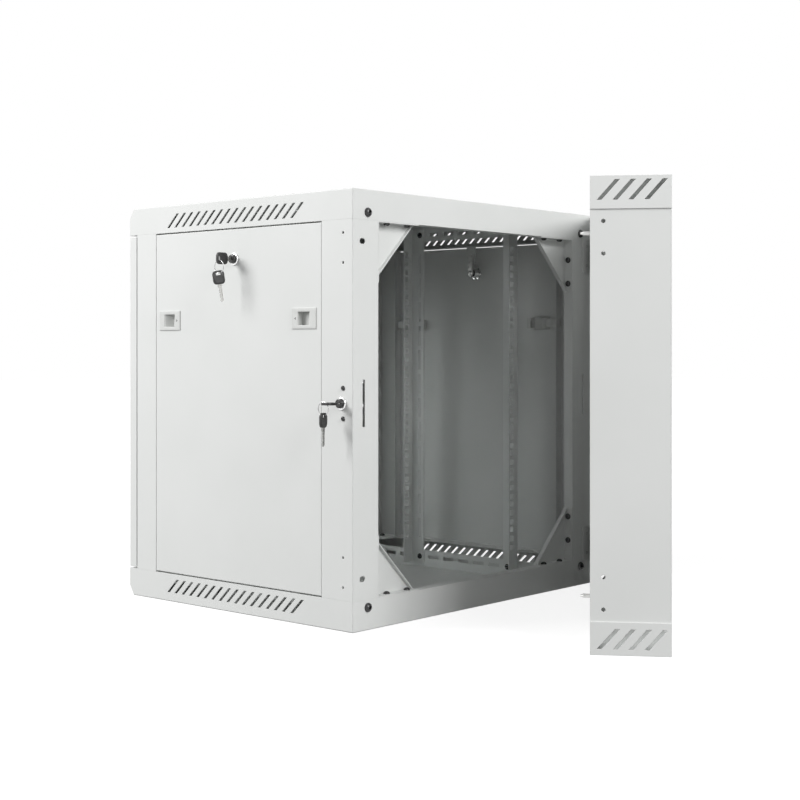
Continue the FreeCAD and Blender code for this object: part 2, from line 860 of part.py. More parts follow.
def side_panel():
    pan = box(half - panel_flange, half, panel_front, panel_back, panel_foot, panel_head)
    edges = [e for e in pan.Edges if e.BoundBox.XMin > half - 0.01]
    pan = pan.makeChamfer(0.8, edges)
    room = box(
        half - panel_flange - 1,
        half - panel_steel,
        panel_front + panel_steel,
        panel_back - panel_steel,
        panel_foot + panel_steel,
        panel_head - panel_steel,
    )
    pan = cut(pan, [room])
    tabs = []
    tab = (hook_tab_x, hook_tab_x + panel_steel)
    shoulder = hook_tab_width / 2 + 4
    wide = hook_tab_width / 2
    for y in hook_tab_places:
        tabs.append(box(*tab, y - shoulder, y + shoulder, frame_height, panel_foot + panel_steel))
        tabs.append(box(*tab, y - wide, y + wide, frame_height - hook_tab_drop, panel_foot))
    pan = join([pan] + tabs)
    holes = [hole(X, (half - 3, side_lock_y, side_lock_z), lock_hole_radius, 6, lock_sides)]
    for end, y, way in latch_centres():
        near = y + way * (cup_length / 2 + latch_hole_margin)
        far = y - way * (cup_length / 2 + latch_travel + latch_hole_margin)
        tall = cup_height / 2 + latch_hole_margin
        holes.append(box(half - 3, half + 1, near, far, latch_z - tall, latch_z + tall))
        edge = panel_front if way < 0 else panel_back
        holes.append(latch_bolt_hole(edge - 3, edge + 3))
    return cut(pan, holes)


def latch_slider(y, way):
    """The finger plate with its cup and bolt. The bolt points along way, toward the panel's edge."""
    face = half + latch_plate
    cup_back = half - panel_steel - cup_depth
    tall = cup_height / 2
    edge = panel_front if way < 0 else panel_back
    plate = box(
        half + plate_clearance,
        face,
        y - latch_length / 2,
        y + latch_length / 2,
        latch_z - latch_height / 2,
        latch_z + latch_height / 2,
    )
    plate = plate.makeChamfer(0.6, [e for e in plate.Edges if e.BoundBox.XMin > face - 0.01])
    long = cup_length / 2
    cup = box(cup_back, half + plate_clearance, y - long, y + long, latch_z - tall, latch_z + tall)
    depth = cup_back + bolt_depth
    bolt_start = y + way * (long - 1)
    bolt_end = edge + way * bolt_reach
    bolt = box(
        depth,
        depth + bolt_thickness,
        bolt_start,
        bolt_end,
        latch_z - bolt_width / 2,
        latch_z + bolt_width / 2,
    )
    lug_face = half - panel_steel - 0.1
    pieces = [plate, cup, bolt]
    for side in (-1, 1):
        base = latch_z + side * tall
        ends = (y - lug[0] / 2, y + lug[0] / 2)
        pieces.append(box(lug_face - lug[2], lug_face, *ends, base - side, base + side * lug[1]))
    slider = join(pieces)
    steep = y - way * (long - cup_wall)
    shallow = y + way * (long - cup_wall)
    outline = [
        (face + 1, steep),
        (cup_back + cup_wall, steep),
        (cup_back + cup_wall, y + way),
        (face, shallow),
        (face + 1, shallow),
    ]
    recess = prism("z", latch_z - tall + cup_wall, latch_z + tall - cup_wall, outline)
    tip = y - way * (long + 5.5 + arrow_size)
    blunt = y - way * (long + 4.0)
    mark = [(tip, latch_z), (blunt, latch_z - arrow_size), (blunt, latch_z + arrow_size)]
    arrow = prism("x", face - 0.6, face + 1, mark)
    return cut(slider, [recess, arrow])


def spring_holder(y, way):
    """A block behind the panel on the inner side of a latch that backs its return spring."""
    start = y - way * (cup_length / 2 + latch_travel + holder_gap)
    skin = half - panel_steel
    wide = holder_depth
    end = start - way * holder_length
    block = box(skin - holder_depth, skin, start, end, latch_z - wide, latch_z + wide)
    floor = start - way * (holder_length - 2)
    pocket = box(skin - 7, skin - 3, start + way, floor, latch_z - 4, latch_z + 4)
    return cut(block, [pocket])


def make_side_panels():
    right = side_panel()
    nodes["side_panel_right"] = right
    nodes["side_panel_left"] = mirror_x(right)
    holders = []
    for end, y, way in latch_centres():
        slider = latch_slider(y, way)
        nodes["latch_slider_right_" + end] = slider
        nodes["latch_slider_left_" + end] = mirror_x(slider)
        holders += both_sides(spring_holder(y, way))
    nodes["latch_spring_holders"] = group(holders)


# ---- front door ----
door_steel = 1.2
door_hinge_return = 12.0
door_side_gap = 1.0
window_half = half - 100.0
window_margin = 45.0
glass_overlap = 12.0
glass_thickness = 4.0
gasket_thickness = 1.5
gasket_width = 9.0
clip_size = (20.0, 15.0)
clip_places = (-130.0, 0.0, 130.0)
clip_tongue = 8.0
door_slot_count = 10
door_slot_pitch = 46.0
door_slot = (34.0, 6.0)
door_pin_length = 22.0
door_pin_sunk = 7.0
collar_radius = 6.0


def door_shell():
    front = -main_depth
    back = front + door_thickness
    wide = half - door_side_gap
    foot = post_foot + door_gap
    head = post_head - door_gap
    tray = box(-wide, wide, front, back, foot, head)
    tray = tray.makeChamfer(0.8, [e for e in tray.Edges if e.BoundBox.YMax < front + 0.01])
    inside = wide - door_steel
    room = box(-inside, inside, front + door_steel, back + 1, foot + door_steel, head - door_steel)
    hinge_cut = box(-wide - 1, door_pin[0] + 6, front + door_hinge_return, back + 1, foot - 1, head + 1)
    through = (front - 1, front + 3)
    window = box(-window_half, window_half, *through, foot + window_margin, head - window_margin)
    holes = [room, hinge_cut, window]
    first = middle - (door_slot_count - 1) * door_slot_pitch / 2
    for side in (-1, 1):
        x = side * (window_half + wide) / 2
        for number in range(door_slot_count):
            z = first + number * door_slot_pitch
            left = x - door_slot[0] / 2
            right = x + door_slot[0] / 2
            if side < 0 or abs(z - middle) > 2 * bezel_radius:
                holes.append(box(left, right, *through, z - door_slot[1] / 2, z + door_slot[1] / 2))
    holes.append(hole(Y, (door_lock_x, front - 1, middle), lock_hole_radius, 4, lock_sides))
    holes.append(hole(Z, (*door_pin, foot - 1), door_pin_radius, head - foot + 2, 8))
    return cut(tray, holes)


def frame_ring(y0, y1, reach_x, reach_z, ring_width):
    outer = box(-reach_x, reach_x, y0, y1, middle - reach_z, middle + reach_z)
    inner = box(
        ring_width - reach_x,
        reach_x - ring_width,
        y0 - 1,
        y1 + 1,
        middle - reach_z + ring_width,
        middle + reach_z - ring_width,
    )
    return cut(outer, [inner])


def make_door():
    nodes["door_frame"] = door_shell()
    sheet = -main_depth + door_steel
    reach_x = window_half + glass_overlap
    reach_z = middle - post_foot - door_gap - window_margin + glass_overlap
    nodes["door_gasket"] = frame_ring(sheet, sheet + gasket_thickness, reach_x, reach_z, gasket_width)
    glass_front = sheet + gasket_thickness
    glass_back = glass_front + glass_thickness
    low = middle - reach_z
    high = middle + reach_z
    nodes["door_glass"] = box(-reach_x, reach_x, glass_front, glass_back, low, high)
    edge = middle - reach_z - 1.0
    clips = []
    for x in clip_places:
        left = x - clip_size[0] / 2
        right = x + clip_size[0] / 2
        foot = box(left, right, sheet, sheet + door_steel, edge + 1 - clip_size[1], edge)
        leg = box(left, right, sheet, glass_back + door_steel, edge - door_steel, edge)
        tongue = box(
            left,
            right,
            glass_back,
            glass_back + door_steel,
            edge - door_steel,
            edge + clip_tongue,
        )
        clips += both_ends(join([foot, leg, tongue]))
    nodes["door_glass_clips"] = group(clips)
    collar = peg(Z, (*door_pin, post_foot + running_fit), collar_radius, door_gap - running_fit, 8)
    pin = peg(Z, (*door_pin, post_foot - door_pin_sunk), door_pin_radius, door_pin_length, 8)
    nodes["door_hinge_pins"] = group(both_ends(join([collar, pin])))
    body = turned(lock_body(door_steel, long_lock), (0, 0, 0), Z, -90)
    barrel = turned(lock_barrel(long_lock, True), (0, 0, 0), Z, -90)
    cam = turned(straight_cam(long_lock), (0, 0, 0), Z, -90)
    place = (door_lock_x, -main_depth, middle)
    nodes["door_lock_body"] = moved(body, *place)
    nodes["door_lock_barrel"] = group([moved(s, *place) for s in (barrel, cam)])


# ---- wall section ----
cap_slots = 4
cap_slot_pitch = 20.8
cap_slot_y = 11.8
cap_slot_lean = 24.0
cap_slot_width = 6.5
cap_slot_low = 8.0
cap_slot_high = 35.0
cap_slot_rise = 3.0
cap_lip = 12.0
side_tuck = 8.0
rim = 28.0
back_rim = 16.0
side_hole_y = 20.6
side_hole_radius = 2.7
wall_entry_half = 150.0
wall_entry_height = 90.0
wall_entry_drop = 135.0
locating_pin_radius = 2.8
locating_pin_length = 13.0
locating_tip = (4.0, 1.2)
locating_head = (5.0, 4.0)
locating_sides = 8


def section_cap():
    """The bottom cap of the wall section: a plate with two side walls and a low front lip."""
    plate = box(-half, half, section_gap, wall_face, 0, steel)
    walls = []
    for sign in (-1, 1):
        walls.append(box(sign * section_side_x, sign * half, section_gap, wall_face, 0, frame_height))
    lip = box(-half, half, section_gap, section_gap + steel, 0, cap_lip)
    return join([plate, lip] + walls)


def cap_vents(z0, z1):
    row = (cap_slot_lean, cap_slot_pitch, cap_slots, cap_slot_width)
    slots = []
    for side in (-1, 1):
        slots += slanted_slots(side, cap_slot_y, z0, z1, *row)
    return slots


def section_side(hook_side):
    """The right side wall, with its rim flange toward the main body and its flange on the back plate."""
    outer = section_side_x
    back = wall_face - steel
    wall = box(outer - steel, outer, section_gap, back, post_foot - side_tuck, post_head + side_tuck)
    rim_flange = box(outer - rim, outer, section_gap, section_gap + steel, post_foot, post_head)
    back_flange = box(outer - back_rim, outer, back - steel, back, post_foot, post_head)
    side = join([wall, rim_flange, back_flange])
    holes = []
    for step in post_hole_steps:
        start = (outer - 2 * steel, side_hole_y, post_foot + step - section_gap)
        holes += both_ends(hole(X, start, side_hole_radius, 3 * steel))
    if hook_side:
        half_slot = hook_slot_width / 2 + 0.5
        holes.append(
            box(
                hook_x - half_slot,
                hook_x + half_slot,
                section_gap - 1,
                section_gap + steel + 1,
                lock_height - hook_rim_bottom,
                lock_height - hook_rim_top,
            )
        )
        start = (locating_x, section_gap - 1, locating_z)
        holes += both_ends(hole(Y, start, locating_pin_radius, steel + 2, locating_sides))
    return cut(side, holes)


def pin_ring(radius, y):
    """A closed outline round a locating pin at the given place along it."""
    corners = [Vector(locating_x + x, y, locating_z + z) for x, z in regular(radius, locating_sides)]
    return Part.makePolygon(corners + corners[:1])


def locating_pin():
    """A pin with a tapered tip, riveted through the rim; the post's slotted hole drops onto it."""
    start = section_gap - locating_pin_length + locating_tip[0]
    length = section_gap + steel - start
    shank = peg(Y, (locating_x, start, locating_z), locating_pin_radius, length, locating_sides)
    ends = [pin_ring(locating_pin_radius, start), pin_ring(locating_tip[1], start - locating_tip[0])]
    head = peg(Y, (locating_x, section_gap + steel, locating_z), *locating_head, 6)
    return join([shank, Part.makeLoft(ends, True, True), head])


def make_section():
    back = wall_face - steel
    plate = box(-section_side_x, section_side_x, back, wall_face, steel, height - steel)
    spread = wall_hole_spacing / 2
    left, right = -wall_entry_half, wall_entry_half
    high = height - wall_entry_drop
    low = high - wall_entry_height
    holes = [box(left, right, back - 1, wall_face + 1, low, high)]
    corner = rod(Y, (spread, back - 1, middle - spread), wall_hole_radius, steel + 2)
    for end in both_ends(corner):
        holes += both_sides(end)
    cover = box(
        left - cover_margin,
        right + cover_margin,
        back - panel_steel,
        back,
        low - cover_margin,
        high + cover_margin,
    )
    cap = section_cap()
    outer, inner = knuckle_bands()
    leaf = hinge_leaf_plate(section_gap - hinge_leaf, section_gap, inner)
    pivot = rod(Z, (hinge_x, hinge_y, hinge_leaf_start), hinge_pin_radius, hinge_leaf_height)
    low_vents = cap_vents(cap_slot_low, cap_slot_high)
    top = height + cap_slot_rise
    top_vents = cap_vents(top - cap_slot_high, top - cap_slot_low)
    return {
        "section_back_plate": cut(plate, holes),
        "section_entry_cover": cover,
        "section_bottom_cap": cut(cap, low_vents),
        "section_top_cap": cut(mirror_z(cap), top_vents),
        "section_side_free": section_side(True),
        "section_side_hinge": mirror_x(section_side(False)),
        "section_locating_pins": group(both_ends(locating_pin())),
        "section_hinge_leaves": group(both_ends(leaf)),
        "hinge_pins": group(both_ends(pivot)),
    }


# ---- put everything in place and write it ----
def wall_centre():
    """Where the middle of the wall-fixing holes comes to once the section is swung open."""
    angle = math.radians(rest_angle)
    dx = -hinge_x
    dy = wall_face - hinge_y
    x = hinge_x + dx * math.cos(angle) - dy * math.sin(angle)
    y = hinge_y + dx * math.sin(angle) + dy * math.cos(angle)
    return x, y, middle


def main():
    make_frames()
    make_entry_covers()
    make_posts()
    make_gussets()
    make_rails()
    make_bolts()
    make_main_hinges()
    make_side_locks()
    make_rear_lock()
    make_side_panels()
    make_door()
    for name, shape in make_section().items():
        nodes[name] = turned(shape, (hinge_x, hinge_y, 0), Z, rest_angle)
    x, y, z = wall_centre()
    os.makedirs("parts", exist_ok=True)
    for name, shape in nodes.items():
        moved(shape, -x, -y, -z).exportStep("parts/" + name + ".step")


main()
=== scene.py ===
# %% [markdown]
# # A wall cabinet that swings open on its wall section
#
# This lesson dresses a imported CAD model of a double-section network cabinet. The folded steel comes
# straight from the CAD nodes and gets a powder-coat finish. The small round things, such as bolts,
# locks, keys and rings, were drawn with a few flat sides in the CAD, so they are built again here with
# round sides.

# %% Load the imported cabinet
import json
import math
from collections import namedtuple

import bmesh
import bpy
from mathutils import Matrix, Vector


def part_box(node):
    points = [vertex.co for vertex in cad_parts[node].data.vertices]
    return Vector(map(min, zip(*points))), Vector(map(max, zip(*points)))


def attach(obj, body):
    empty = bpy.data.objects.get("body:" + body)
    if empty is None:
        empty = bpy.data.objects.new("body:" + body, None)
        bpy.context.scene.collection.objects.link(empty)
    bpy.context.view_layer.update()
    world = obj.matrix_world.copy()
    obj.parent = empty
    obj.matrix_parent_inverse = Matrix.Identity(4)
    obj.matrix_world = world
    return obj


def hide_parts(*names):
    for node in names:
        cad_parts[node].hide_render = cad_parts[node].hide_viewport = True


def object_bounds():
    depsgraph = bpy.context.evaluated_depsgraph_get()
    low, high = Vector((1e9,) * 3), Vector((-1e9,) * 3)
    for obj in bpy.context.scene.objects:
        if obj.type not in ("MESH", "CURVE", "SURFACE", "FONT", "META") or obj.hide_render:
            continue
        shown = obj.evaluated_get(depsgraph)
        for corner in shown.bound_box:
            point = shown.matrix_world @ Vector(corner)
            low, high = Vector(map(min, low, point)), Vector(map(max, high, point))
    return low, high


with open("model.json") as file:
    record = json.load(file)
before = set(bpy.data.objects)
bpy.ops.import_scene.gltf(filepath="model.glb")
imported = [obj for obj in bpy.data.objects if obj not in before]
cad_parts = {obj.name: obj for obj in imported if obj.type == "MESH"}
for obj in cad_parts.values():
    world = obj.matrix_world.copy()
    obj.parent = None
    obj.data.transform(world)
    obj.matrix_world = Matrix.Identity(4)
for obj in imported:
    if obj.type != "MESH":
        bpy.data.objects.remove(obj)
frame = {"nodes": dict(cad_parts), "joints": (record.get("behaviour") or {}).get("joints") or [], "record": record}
cad_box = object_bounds()
print("CAD box, m:", [list(corner) for corner in cad_box])

# %% [markdown]
# Lengths in the cells below are written in millimetres, as a sheet-metal drawing would give them, and
# multiplied by `mm`. The first measures that several pieces share come from boxes of CAD nodes, so the
# pieces stay in place if the cabinet's size changes.

# %% Shared measures
mm = 0.001
X = Vector((1, 0, 0))
Y = Vector((0, 1, 0))
Z = Vector((0, 0, 1))
roof_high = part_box("top_frame")[1]
base_low, base_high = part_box("bottom_frame")
middle_x = (base_low.x + base_high.x) / 2
middle_z = (base_low.z + roof_high.z) / 2
rear_face = base_high.y
hinge = next(joint for joint in frame["joints"] if joint["name"] == "main_swing")
print("rear face at y =", round(rear_face, 4), "height =", round(roof_high.z - base_low.z, 4))

# %% [markdown]
# ## The view
#
# The cabinet is seen from behind and to one side, at half its height, so that the lens stays level and
# the uprights stay parallel. A level lens with a little vertical shift is the usual choice for
# buildings. Tilting the camera instead would make the posts lean together.

# %% Place the camera
camera_place = Vector((1942.8, 1179.2, 91.0)) * mm
camera_turn = 131.36
camera_lens = 66.38
camera_shift = -0.0667


def add_object(name, data):
    """Puts a camera, a lamp or a mesh in the scene as an object."""
    thing = bpy.data.objects.new(name, data)
    bpy.context.scene.collection.objects.link(thing)
    return thing


def place_camera():
    lens = bpy.data.cameras.new("cabinet_camera")
    lens.lens = camera_lens
    lens.sensor_width = 36.0
    lens.shift_y = camera_shift
    lens.clip_end = 60.0
    camera = add_object("cabinet_camera", lens)
    camera.location = camera_place
    camera.rotation_euler = (math.radians(90), 0, math.radians(camera_turn))
    bpy.context.scene.camera = camera
    return camera


print("camera at", [round(value, 3) for value in place_camera().location])

# %% [markdown]
# ## Helpers for node materials
#
# A Blender material is a small graph. Three helpers save typing: `new_finish` starts a material from
# the Principled shader, `add_node` adds a node with its inputs filled in, and `wire` joins two sockets.
# The other four are made from these: `grain` is noise, and `spread`, `tint` and `relief` lead it to a
# value, to the colour and to the bump.

# %% Material helpers
def new_finish(name, metallic=0.0, roughness=0.5):
    """A material with its Principled shader wired up. Returns the material, its tree and the shader."""
    finish = bpy.data.materials.new(name)
    finish.use_nodes = True
    tree = finish.node_tree
    shader = tree.nodes["Principled BSDF"]
    shader.inputs["Metallic"].default_value = metallic
    shader.inputs["Roughness"].default_value = roughness
    return finish, tree, shader


def add_node(tree, kind, inputs=None, **settings):
    """A node of this kind. inputs fills sockets by name and settings sets its own properties."""
    node = tree.nodes.new(kind)
    for name, value in settings.items():
        setattr(node, name, value)
    for name, value in (inputs or {}).items():
        node.inputs[name].default_value = value
    return node


def wire(source, output, target, socket):
    """Joins an output to a socket. Each is given by its name or by its number."""
    source.id_data.links.new(source.outputs[output], target.inputs[socket])


def grain(tree, scale, detail=2.0, stretch=(1.0, 1.0, 1.0)):
    """Noise in the object's own metres. A scale of 1000 gives grains about a millimetre across."""
    place = add_node(tree, "ShaderNodeTexCoord")
    mapping = add_node(tree, "ShaderNodeMapping", {"Scale": stretch})
    noise = add_node(tree, "ShaderNodeTexNoise", {"Scale": scale, "Detail": detail})
    wire(place, "Object", mapping, "Vector")
    wire(mapping, "Vector", noise, "Vector")
    return noise


def spread(tree, noise, low, high, target, socket):
    """Sends the noise to a socket, with its middle half stretched to the range from low to high."""
    limits = {"From Min": 0.3, "From Max": 0.7, "To Min": low, "To Max": high}
    reach = add_node(tree, "ShaderNodeMapRange", limits)
    wire(noise, "Fac", reach, "Value")
    wire(reach, "Result", target, socket)


def tint(tree, noise, dark, light, shader):
    """Lets the base colour drift between two close tones."""
    ramp = add_node(tree, "ShaderNodeValToRGB")
    for element, position, tone in zip(ramp.color_ramp.elements, (0.35, 0.65), (dark, light)):
        element.position = position
        element.color = (*tone, 1)
    wire(noise, "Fac", ramp, "Fac")
    wire(ramp, "Color", shader, "Base Color")


def relief(tree, noise, strength, height, shader, edge=0.0):
    """Bump from the noise, with the edges of the sheet rounded by the given radius."""
    bump = add_node(tree, "ShaderNodeBump", {"Strength": strength, "Distance": height})
    wire(noise, "Fac", bump, "Height")
    if edge:
        rounding = add_node(tree, "ShaderNodeBevel", {"Radius": edge}, samples=6)
        wire(rounding, "Normal", bump, "Normal")
    wire(bump, "Normal", shader, "Normal")


print("material helpers ready")

# %% [markdown]
# ## Powder coat
#
# The steel is coated with baked grey powder. Up close it has a fine orange peel, about a millimetre
# from crest to crest, a satin sheen and almost no change of tone. Real folds have a small radius, and
# the CAD folds are sharp or chamfered. A Bevel node rounds the shading there without adding faces, so
# each fold catches a thin line of light. The rack rails and depth channels are the same grey as the
# panels, but they get a paler copy of the coat. This is painted light, so that they read brighter in
# the shade inside the cabinet.

# %% Powder-coat finish
paint_sheen = 0.38
peel_grain = 950.0
peel_height = 0.06 * mm
fold_radius = 0.9 * mm


def make_powder_coat(name, dark, light):
    finish, tree, shader = new_finish(name)
    shader.inputs["Specular IOR Level"].default_value = paint_sheen
    tint(tree, grain(tree, 7.0, 3.0), dark, light, shader)
    spread(tree, grain(tree, 60.0, 4.0), 0.44, 0.56, shader, "Roughness")
    relief(tree, grain(tree, peel_grain, 1.5), 0.22, peel_height, shader, fold_radius)
    return finish


grey_paint = make_powder_coat("grey_powder_coat", (0.715, 0.727, 0.715), (0.735, 0.745, 0.735))
# Paler copy of the grey coat for rails and depth channels: painted light against the shade inside the cabinet.
rail_paint_painted_light = make_powder_coat("rail_powder_coat_painted_light", (0.78, 0.8, 0.785), (0.82, 0.835, 0.825))
print("finishes:", grey_paint.name, rail_paint_painted_light.name)

# %% [markdown]
# ## Moulded plastics
#
# The finger latches are grey plastic with a fine spark-eroded grain. The key bows are black plastic
# with the same grain, a little glossier where pockets rub them. Both come from one recipe: dense fine
# noise as bump, and slow noise in the roughness.

# %% Plastic finishes
def make_plastic(name, dark, light, rough, peak=0.03 * mm):
    finish, tree, shader = new_finish(name, roughness=rough)
    tint(tree, grain(tree, 120.0, 2.0), dark, light, shader)
    spread(tree, grain(tree, 90.0, 3.0), rough - 0.06, rough + 0.06, shader, "Roughness")
    relief(tree, grain(tree, 2600.0, 1.0), 0.25, peak, shader)
    return finish


latch_plastic = make_plastic("latch_plastic", (0.615, 0.625, 0.61), (0.645, 0.655, 0.64), 0.55)
arrow_plastic = make_plastic("latch_arrow_grey", (0.16, 0.165, 0.16), (0.2, 0.205, 0.2), 0.6, 0.02 * mm)
key_plastic = make_plastic("key_bow_plastic", (0.012, 0.012, 0.012), (0.02, 0.02, 0.02), 0.42)
print("plastics:", latch_plastic.name, arrow_plastic.name, key_plastic.name)

# %% [markdown]
# ## Metals
#
# Zinc plating is pale and a little cloudy. Chrome on the lock bezels is a mirror with faint smears.
# Black bolts and barrels are dark coatings over turned steel. Key blades are nickel with fine marks
# along their length. Their tone is painted darker than nickel, as a painted dark reflection of the
# surroundings they reflect. Rings are bright spring steel. One function mixes all of them, because only
# tone, roughness and the marks change.

# %% Metal finishes
def make_metal(name, dark, light, rough, marks, metallic=1.0, coat=0.0):
    """marks is (scale, strength, stretch) for the fine lines or cloudiness left by making the piece."""
    finish, tree, shader = new_finish(name, metallic, rough[0])
    scale, strength, stretch = marks
    tint(tree, grain(tree, 160.0, 3.0), dark, light, shader)
    spread(tree, grain(tree, scale / 3, 3.0, stretch), rough[0], rough[1], shader, "Roughness")
    relief(tree, grain(tree, scale, 2.0, stretch), strength, 0.02 * mm, shader)
    shader.inputs["Coat Weight"].default_value = coat
    shader.inputs["Coat Roughness"].default_value = 0.2
    return finish


even = (1, 1, 1)
along_blade = (0.15, 1, 1)

# Each metal's dark and light tone, its roughness from and to, its marks, and for the two black ones how
# metallic it is and how strong its clear coat.
metal_recipes = {
    "zinc_plated_steel": ((0.5, 0.5, 0.49), (0.62, 0.62, 0.61), (0.3, 0.45), (900, 0.2, even)),
    "bezel_chrome": ((0.8, 0.8, 0.8), (0.86, 0.86, 0.86), (0.05, 0.12), (500, 0.05, even)),
    "bolt_black": ((0.015, 0.015, 0.016), (0.03, 0.03, 0.031), (0.26, 0.4), (1400, 0.2, even), 0.35, 0.4),
    "barrel_black": (
        (0.012, 0.012, 0.012), (0.022, 0.022, 0.022), (0.2, 0.32), (1400, 0.12, even), 0.2, 0.5
    ),
    # The key blade's tones are painted dark: a painted reflection of dark surroundings, not the nickel's own
    # colour.
    "key_blade_nickel_painted_dark": ((0.27, 0.27, 0.26), (0.36, 0.36, 0.35), (0.28, 0.4), (1500, 0.3, along_blade)),
    "key_ring_steel": ((0.5, 0.5, 0.5), (0.62, 0.62, 0.62), (0.2, 0.32), (1500, 0.15, even)),
}
metals = {name: make_metal(name, *recipe) for name, recipe in metal_recipes.items()}
print("metals:", *metals)

# %% [markdown]
# ## Glass and its gasket
#
# The front door holds a sheet of clear safety glass on a foam gasket. Glass is a Principled shader with
# full transmission. Its roughness carries faint smears, because perfectly clean glass looks like
# nothing at all. The foam is almost black and full of tiny pores.

# %% Glass and foam finishes
def make_glass():
    finish, tree, shader = new_finish("door_glass", roughness=0.02)
    shader.inputs["IOR"].default_value = 1.5
    shader.inputs["Transmission Weight"].default_value = 1.0
    tint(tree, grain(tree, 5.0, 2.0), (0.84, 0.88, 0.87), (0.87, 0.9, 0.89), shader)
    spread(tree, grain(tree, 14.0, 4.0), 0.01, 0.06, shader, "Roughness")
    return finish


def make_foam():
    finish, tree, shader = new_finish("gasket_foam", roughness=0.85)
    tint(tree, grain(tree, 300.0, 3.0), (0.012, 0.012, 0.012), (0.03, 0.03, 0.03), shader)
    relief(tree, grain(tree, 1800.0, 2.0), 0.6, 0.12 * mm, shader)
    return finish


door_glass = make_glass()
gasket_foam = make_foam()
print("glass and foam:", door_glass.name, gasket_foam.name)

# %% [markdown]
# ## Finish every CAD node
#
# The record already says which finish each node has, by a slot name. Walking through that list and
# giving each node the matching material is safer than naming sixty nodes by hand: a node that was
# forgotten would stay plain white.

# %% Give CAD nodes their finishes
finish_of_slot = {
    "grey_paint": grey_paint,
    "latch_grey": latch_plastic,
    "bolt_black": metals["bolt_black"],
    "zinc_steel": metals["zinc_plated_steel"],
    "bezel_chrome": metals["bezel_chrome"],
    "barrel_black": metals["barrel_black"],
    "key_black": key_plastic,
    "ring_steel": metals["key_ring_steel"],
    "glass": door_glass,
    "gasket_rubber": gasket_foam,
}


def coat_nodes():
    for part in frame["record"]["subparts"]:
        finish = finish_of_slot[part["material_slot"]]
        # Rails and depth channels take the paler copy of the coat, which is painted light for the shaded interior.
        if "rack_rail" in part["node"] or "depth_channel" in part["node"]:
            finish = rail_paint_painted_light
        materials = frame["nodes"][part["node"]].data.materials
        materials.clear()
        materials.append(finish)
    return len(frame["record"]["subparts"])


print("nodes coated:", coat_nodes())

# %% [markdown]
# ## Mesh helpers for turned pieces
#
# Bolts, locks and hinge knuckles are all turned shapes: a profile swept round an axis. Blender has a
# Spin tool for that, but writing the rings directly gives one thing more. A ring can be round or have
# flats, so a hexagon socket can run smoothly out of a domed head. Each ring is (distance along the
# axis, radius), and a third number gives it that many flats.

# %% Turned shapes
def upright_frame(direction):
    """The given direction and two across it, so that rings can be drawn round it."""
    forward = Vector(direction).normalized()
    side = Z.cross(forward)
    if side.length < 0.1:
        side = X.copy()
    side.normalize()
    return forward, side, forward.cross(side)


def ring_points(centre, direction, radius, sides, flats=0):
    side, up = upright_frame(direction)[1:]
    points = []
    for number in range(sides):
        angle = 2 * math.pi * number / sides
        reach = radius
        if flats:
            step = 2 * math.pi / flats
            reach = radius * math.cos(step / 2) / math.cos(angle % step - step / 2)
        points.append(centre + side * (reach * math.cos(angle)) + up * (reach * math.sin(angle)))
    return points


def join_loops(mesh, loops, closed=False):
    """Faces from each ring to the next. A closed row has no ends, and any other row gets two caps."""
    following = loops[1:] + loops[:1] if closed else loops[1:]
    for first, second in zip(loops, following):
        for number in range(len(first)):
            after = (number + 1) % len(first)
            mesh.faces.new((first[number], first[after], second[after], second[number]))
    if not closed:
        mesh.faces.new(loops[0][::-1])
        mesh.faces.new(loops[-1])


def turn_shape(mesh, base, direction, rings, sides=36, tube=False):
    """Adds a turned solid, with distances measured from base. A tube's rings run in and out again."""
    forward = Vector(direction).normalized()
    loops = []
    for along, radius, *flats in rings:
        points = ring_points(base + forward * along, direction, radius, sides, *flats)
        loops.append([mesh.verts.new(point) for point in points])
    join_loops(mesh, loops, tube)


def in_mm(rows):
    """Rings whose distance and radius were written in millimetres."""
    return [(along * mm, radius * mm, *flats) for along, radius, *flats in rows]


print("turned shapes ready")

# %% [markdown]
# ## From mesh to piece
#
# Every piece ends the same way. Its normals are made to point outward, its faces are shaded smooth
# except across sharp edges, it gets the finish of its material slot, it is attached to the body it rides
# on, and the CAD nodes it stands for are hidden. `cut_away` takes a second mesh out of a piece
# with a Boolean modifier and applies the result, which is the quickest way to a clean slot.

# %% Finish a piece
sharp_angle = math.radians(32)


def mesh_object(mesh, name):
    bmesh.ops.recalc_face_normals(mesh, faces=mesh.faces)
    data = bpy.data.meshes.new(name)
    mesh.to_mesh(data)
    mesh.free()
    return add_object(name, data)


def smooth_piece(piece):
    for face in piece.data.polygons:
        face.use_smooth = True
    piece.data.set_sharp_from_angle(angle=sharp_angle)


def make_piece(mesh, name, body, slot, stands_for=(), finish=None):
    """Turns a mesh into a finished piece. The finish is the slot's own, unless another is given."""
    piece = mesh_object(mesh, name)
    smooth_piece(piece)
    piece.data.materials.append(finish or finish_of_slot[slot])
    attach(piece, body)
    if stands_for:
        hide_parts(*stands_for)
    print(name, "rides on", body, "with", len(piece.data.polygons), "faces")
    return piece


def cut_away(piece, cutter):
    """Takes the cutter's mesh out of the piece for good, and frees the cutter."""
    tool = mesh_object(cutter, "cutter")
    taking = piece.modifiers.new("cut", "BOOLEAN")
    taking.operation = "DIFFERENCE"
    taking.solver = "EXACT"
    taking.object = tool
    bpy.context.view_layer.update()
    ready = piece.evaluated_get(bpy.context.evaluated_depsgraph_get())
    finish = piece.data.materials[0]
    piece.data = bpy.data.meshes.new_from_object(ready)
    piece.modifiers.clear()
    piece.data.materials.clear()
    piece.data.materials.append(finish)
    bpy.data.objects.remove(tool)
    smooth_piece(piece)


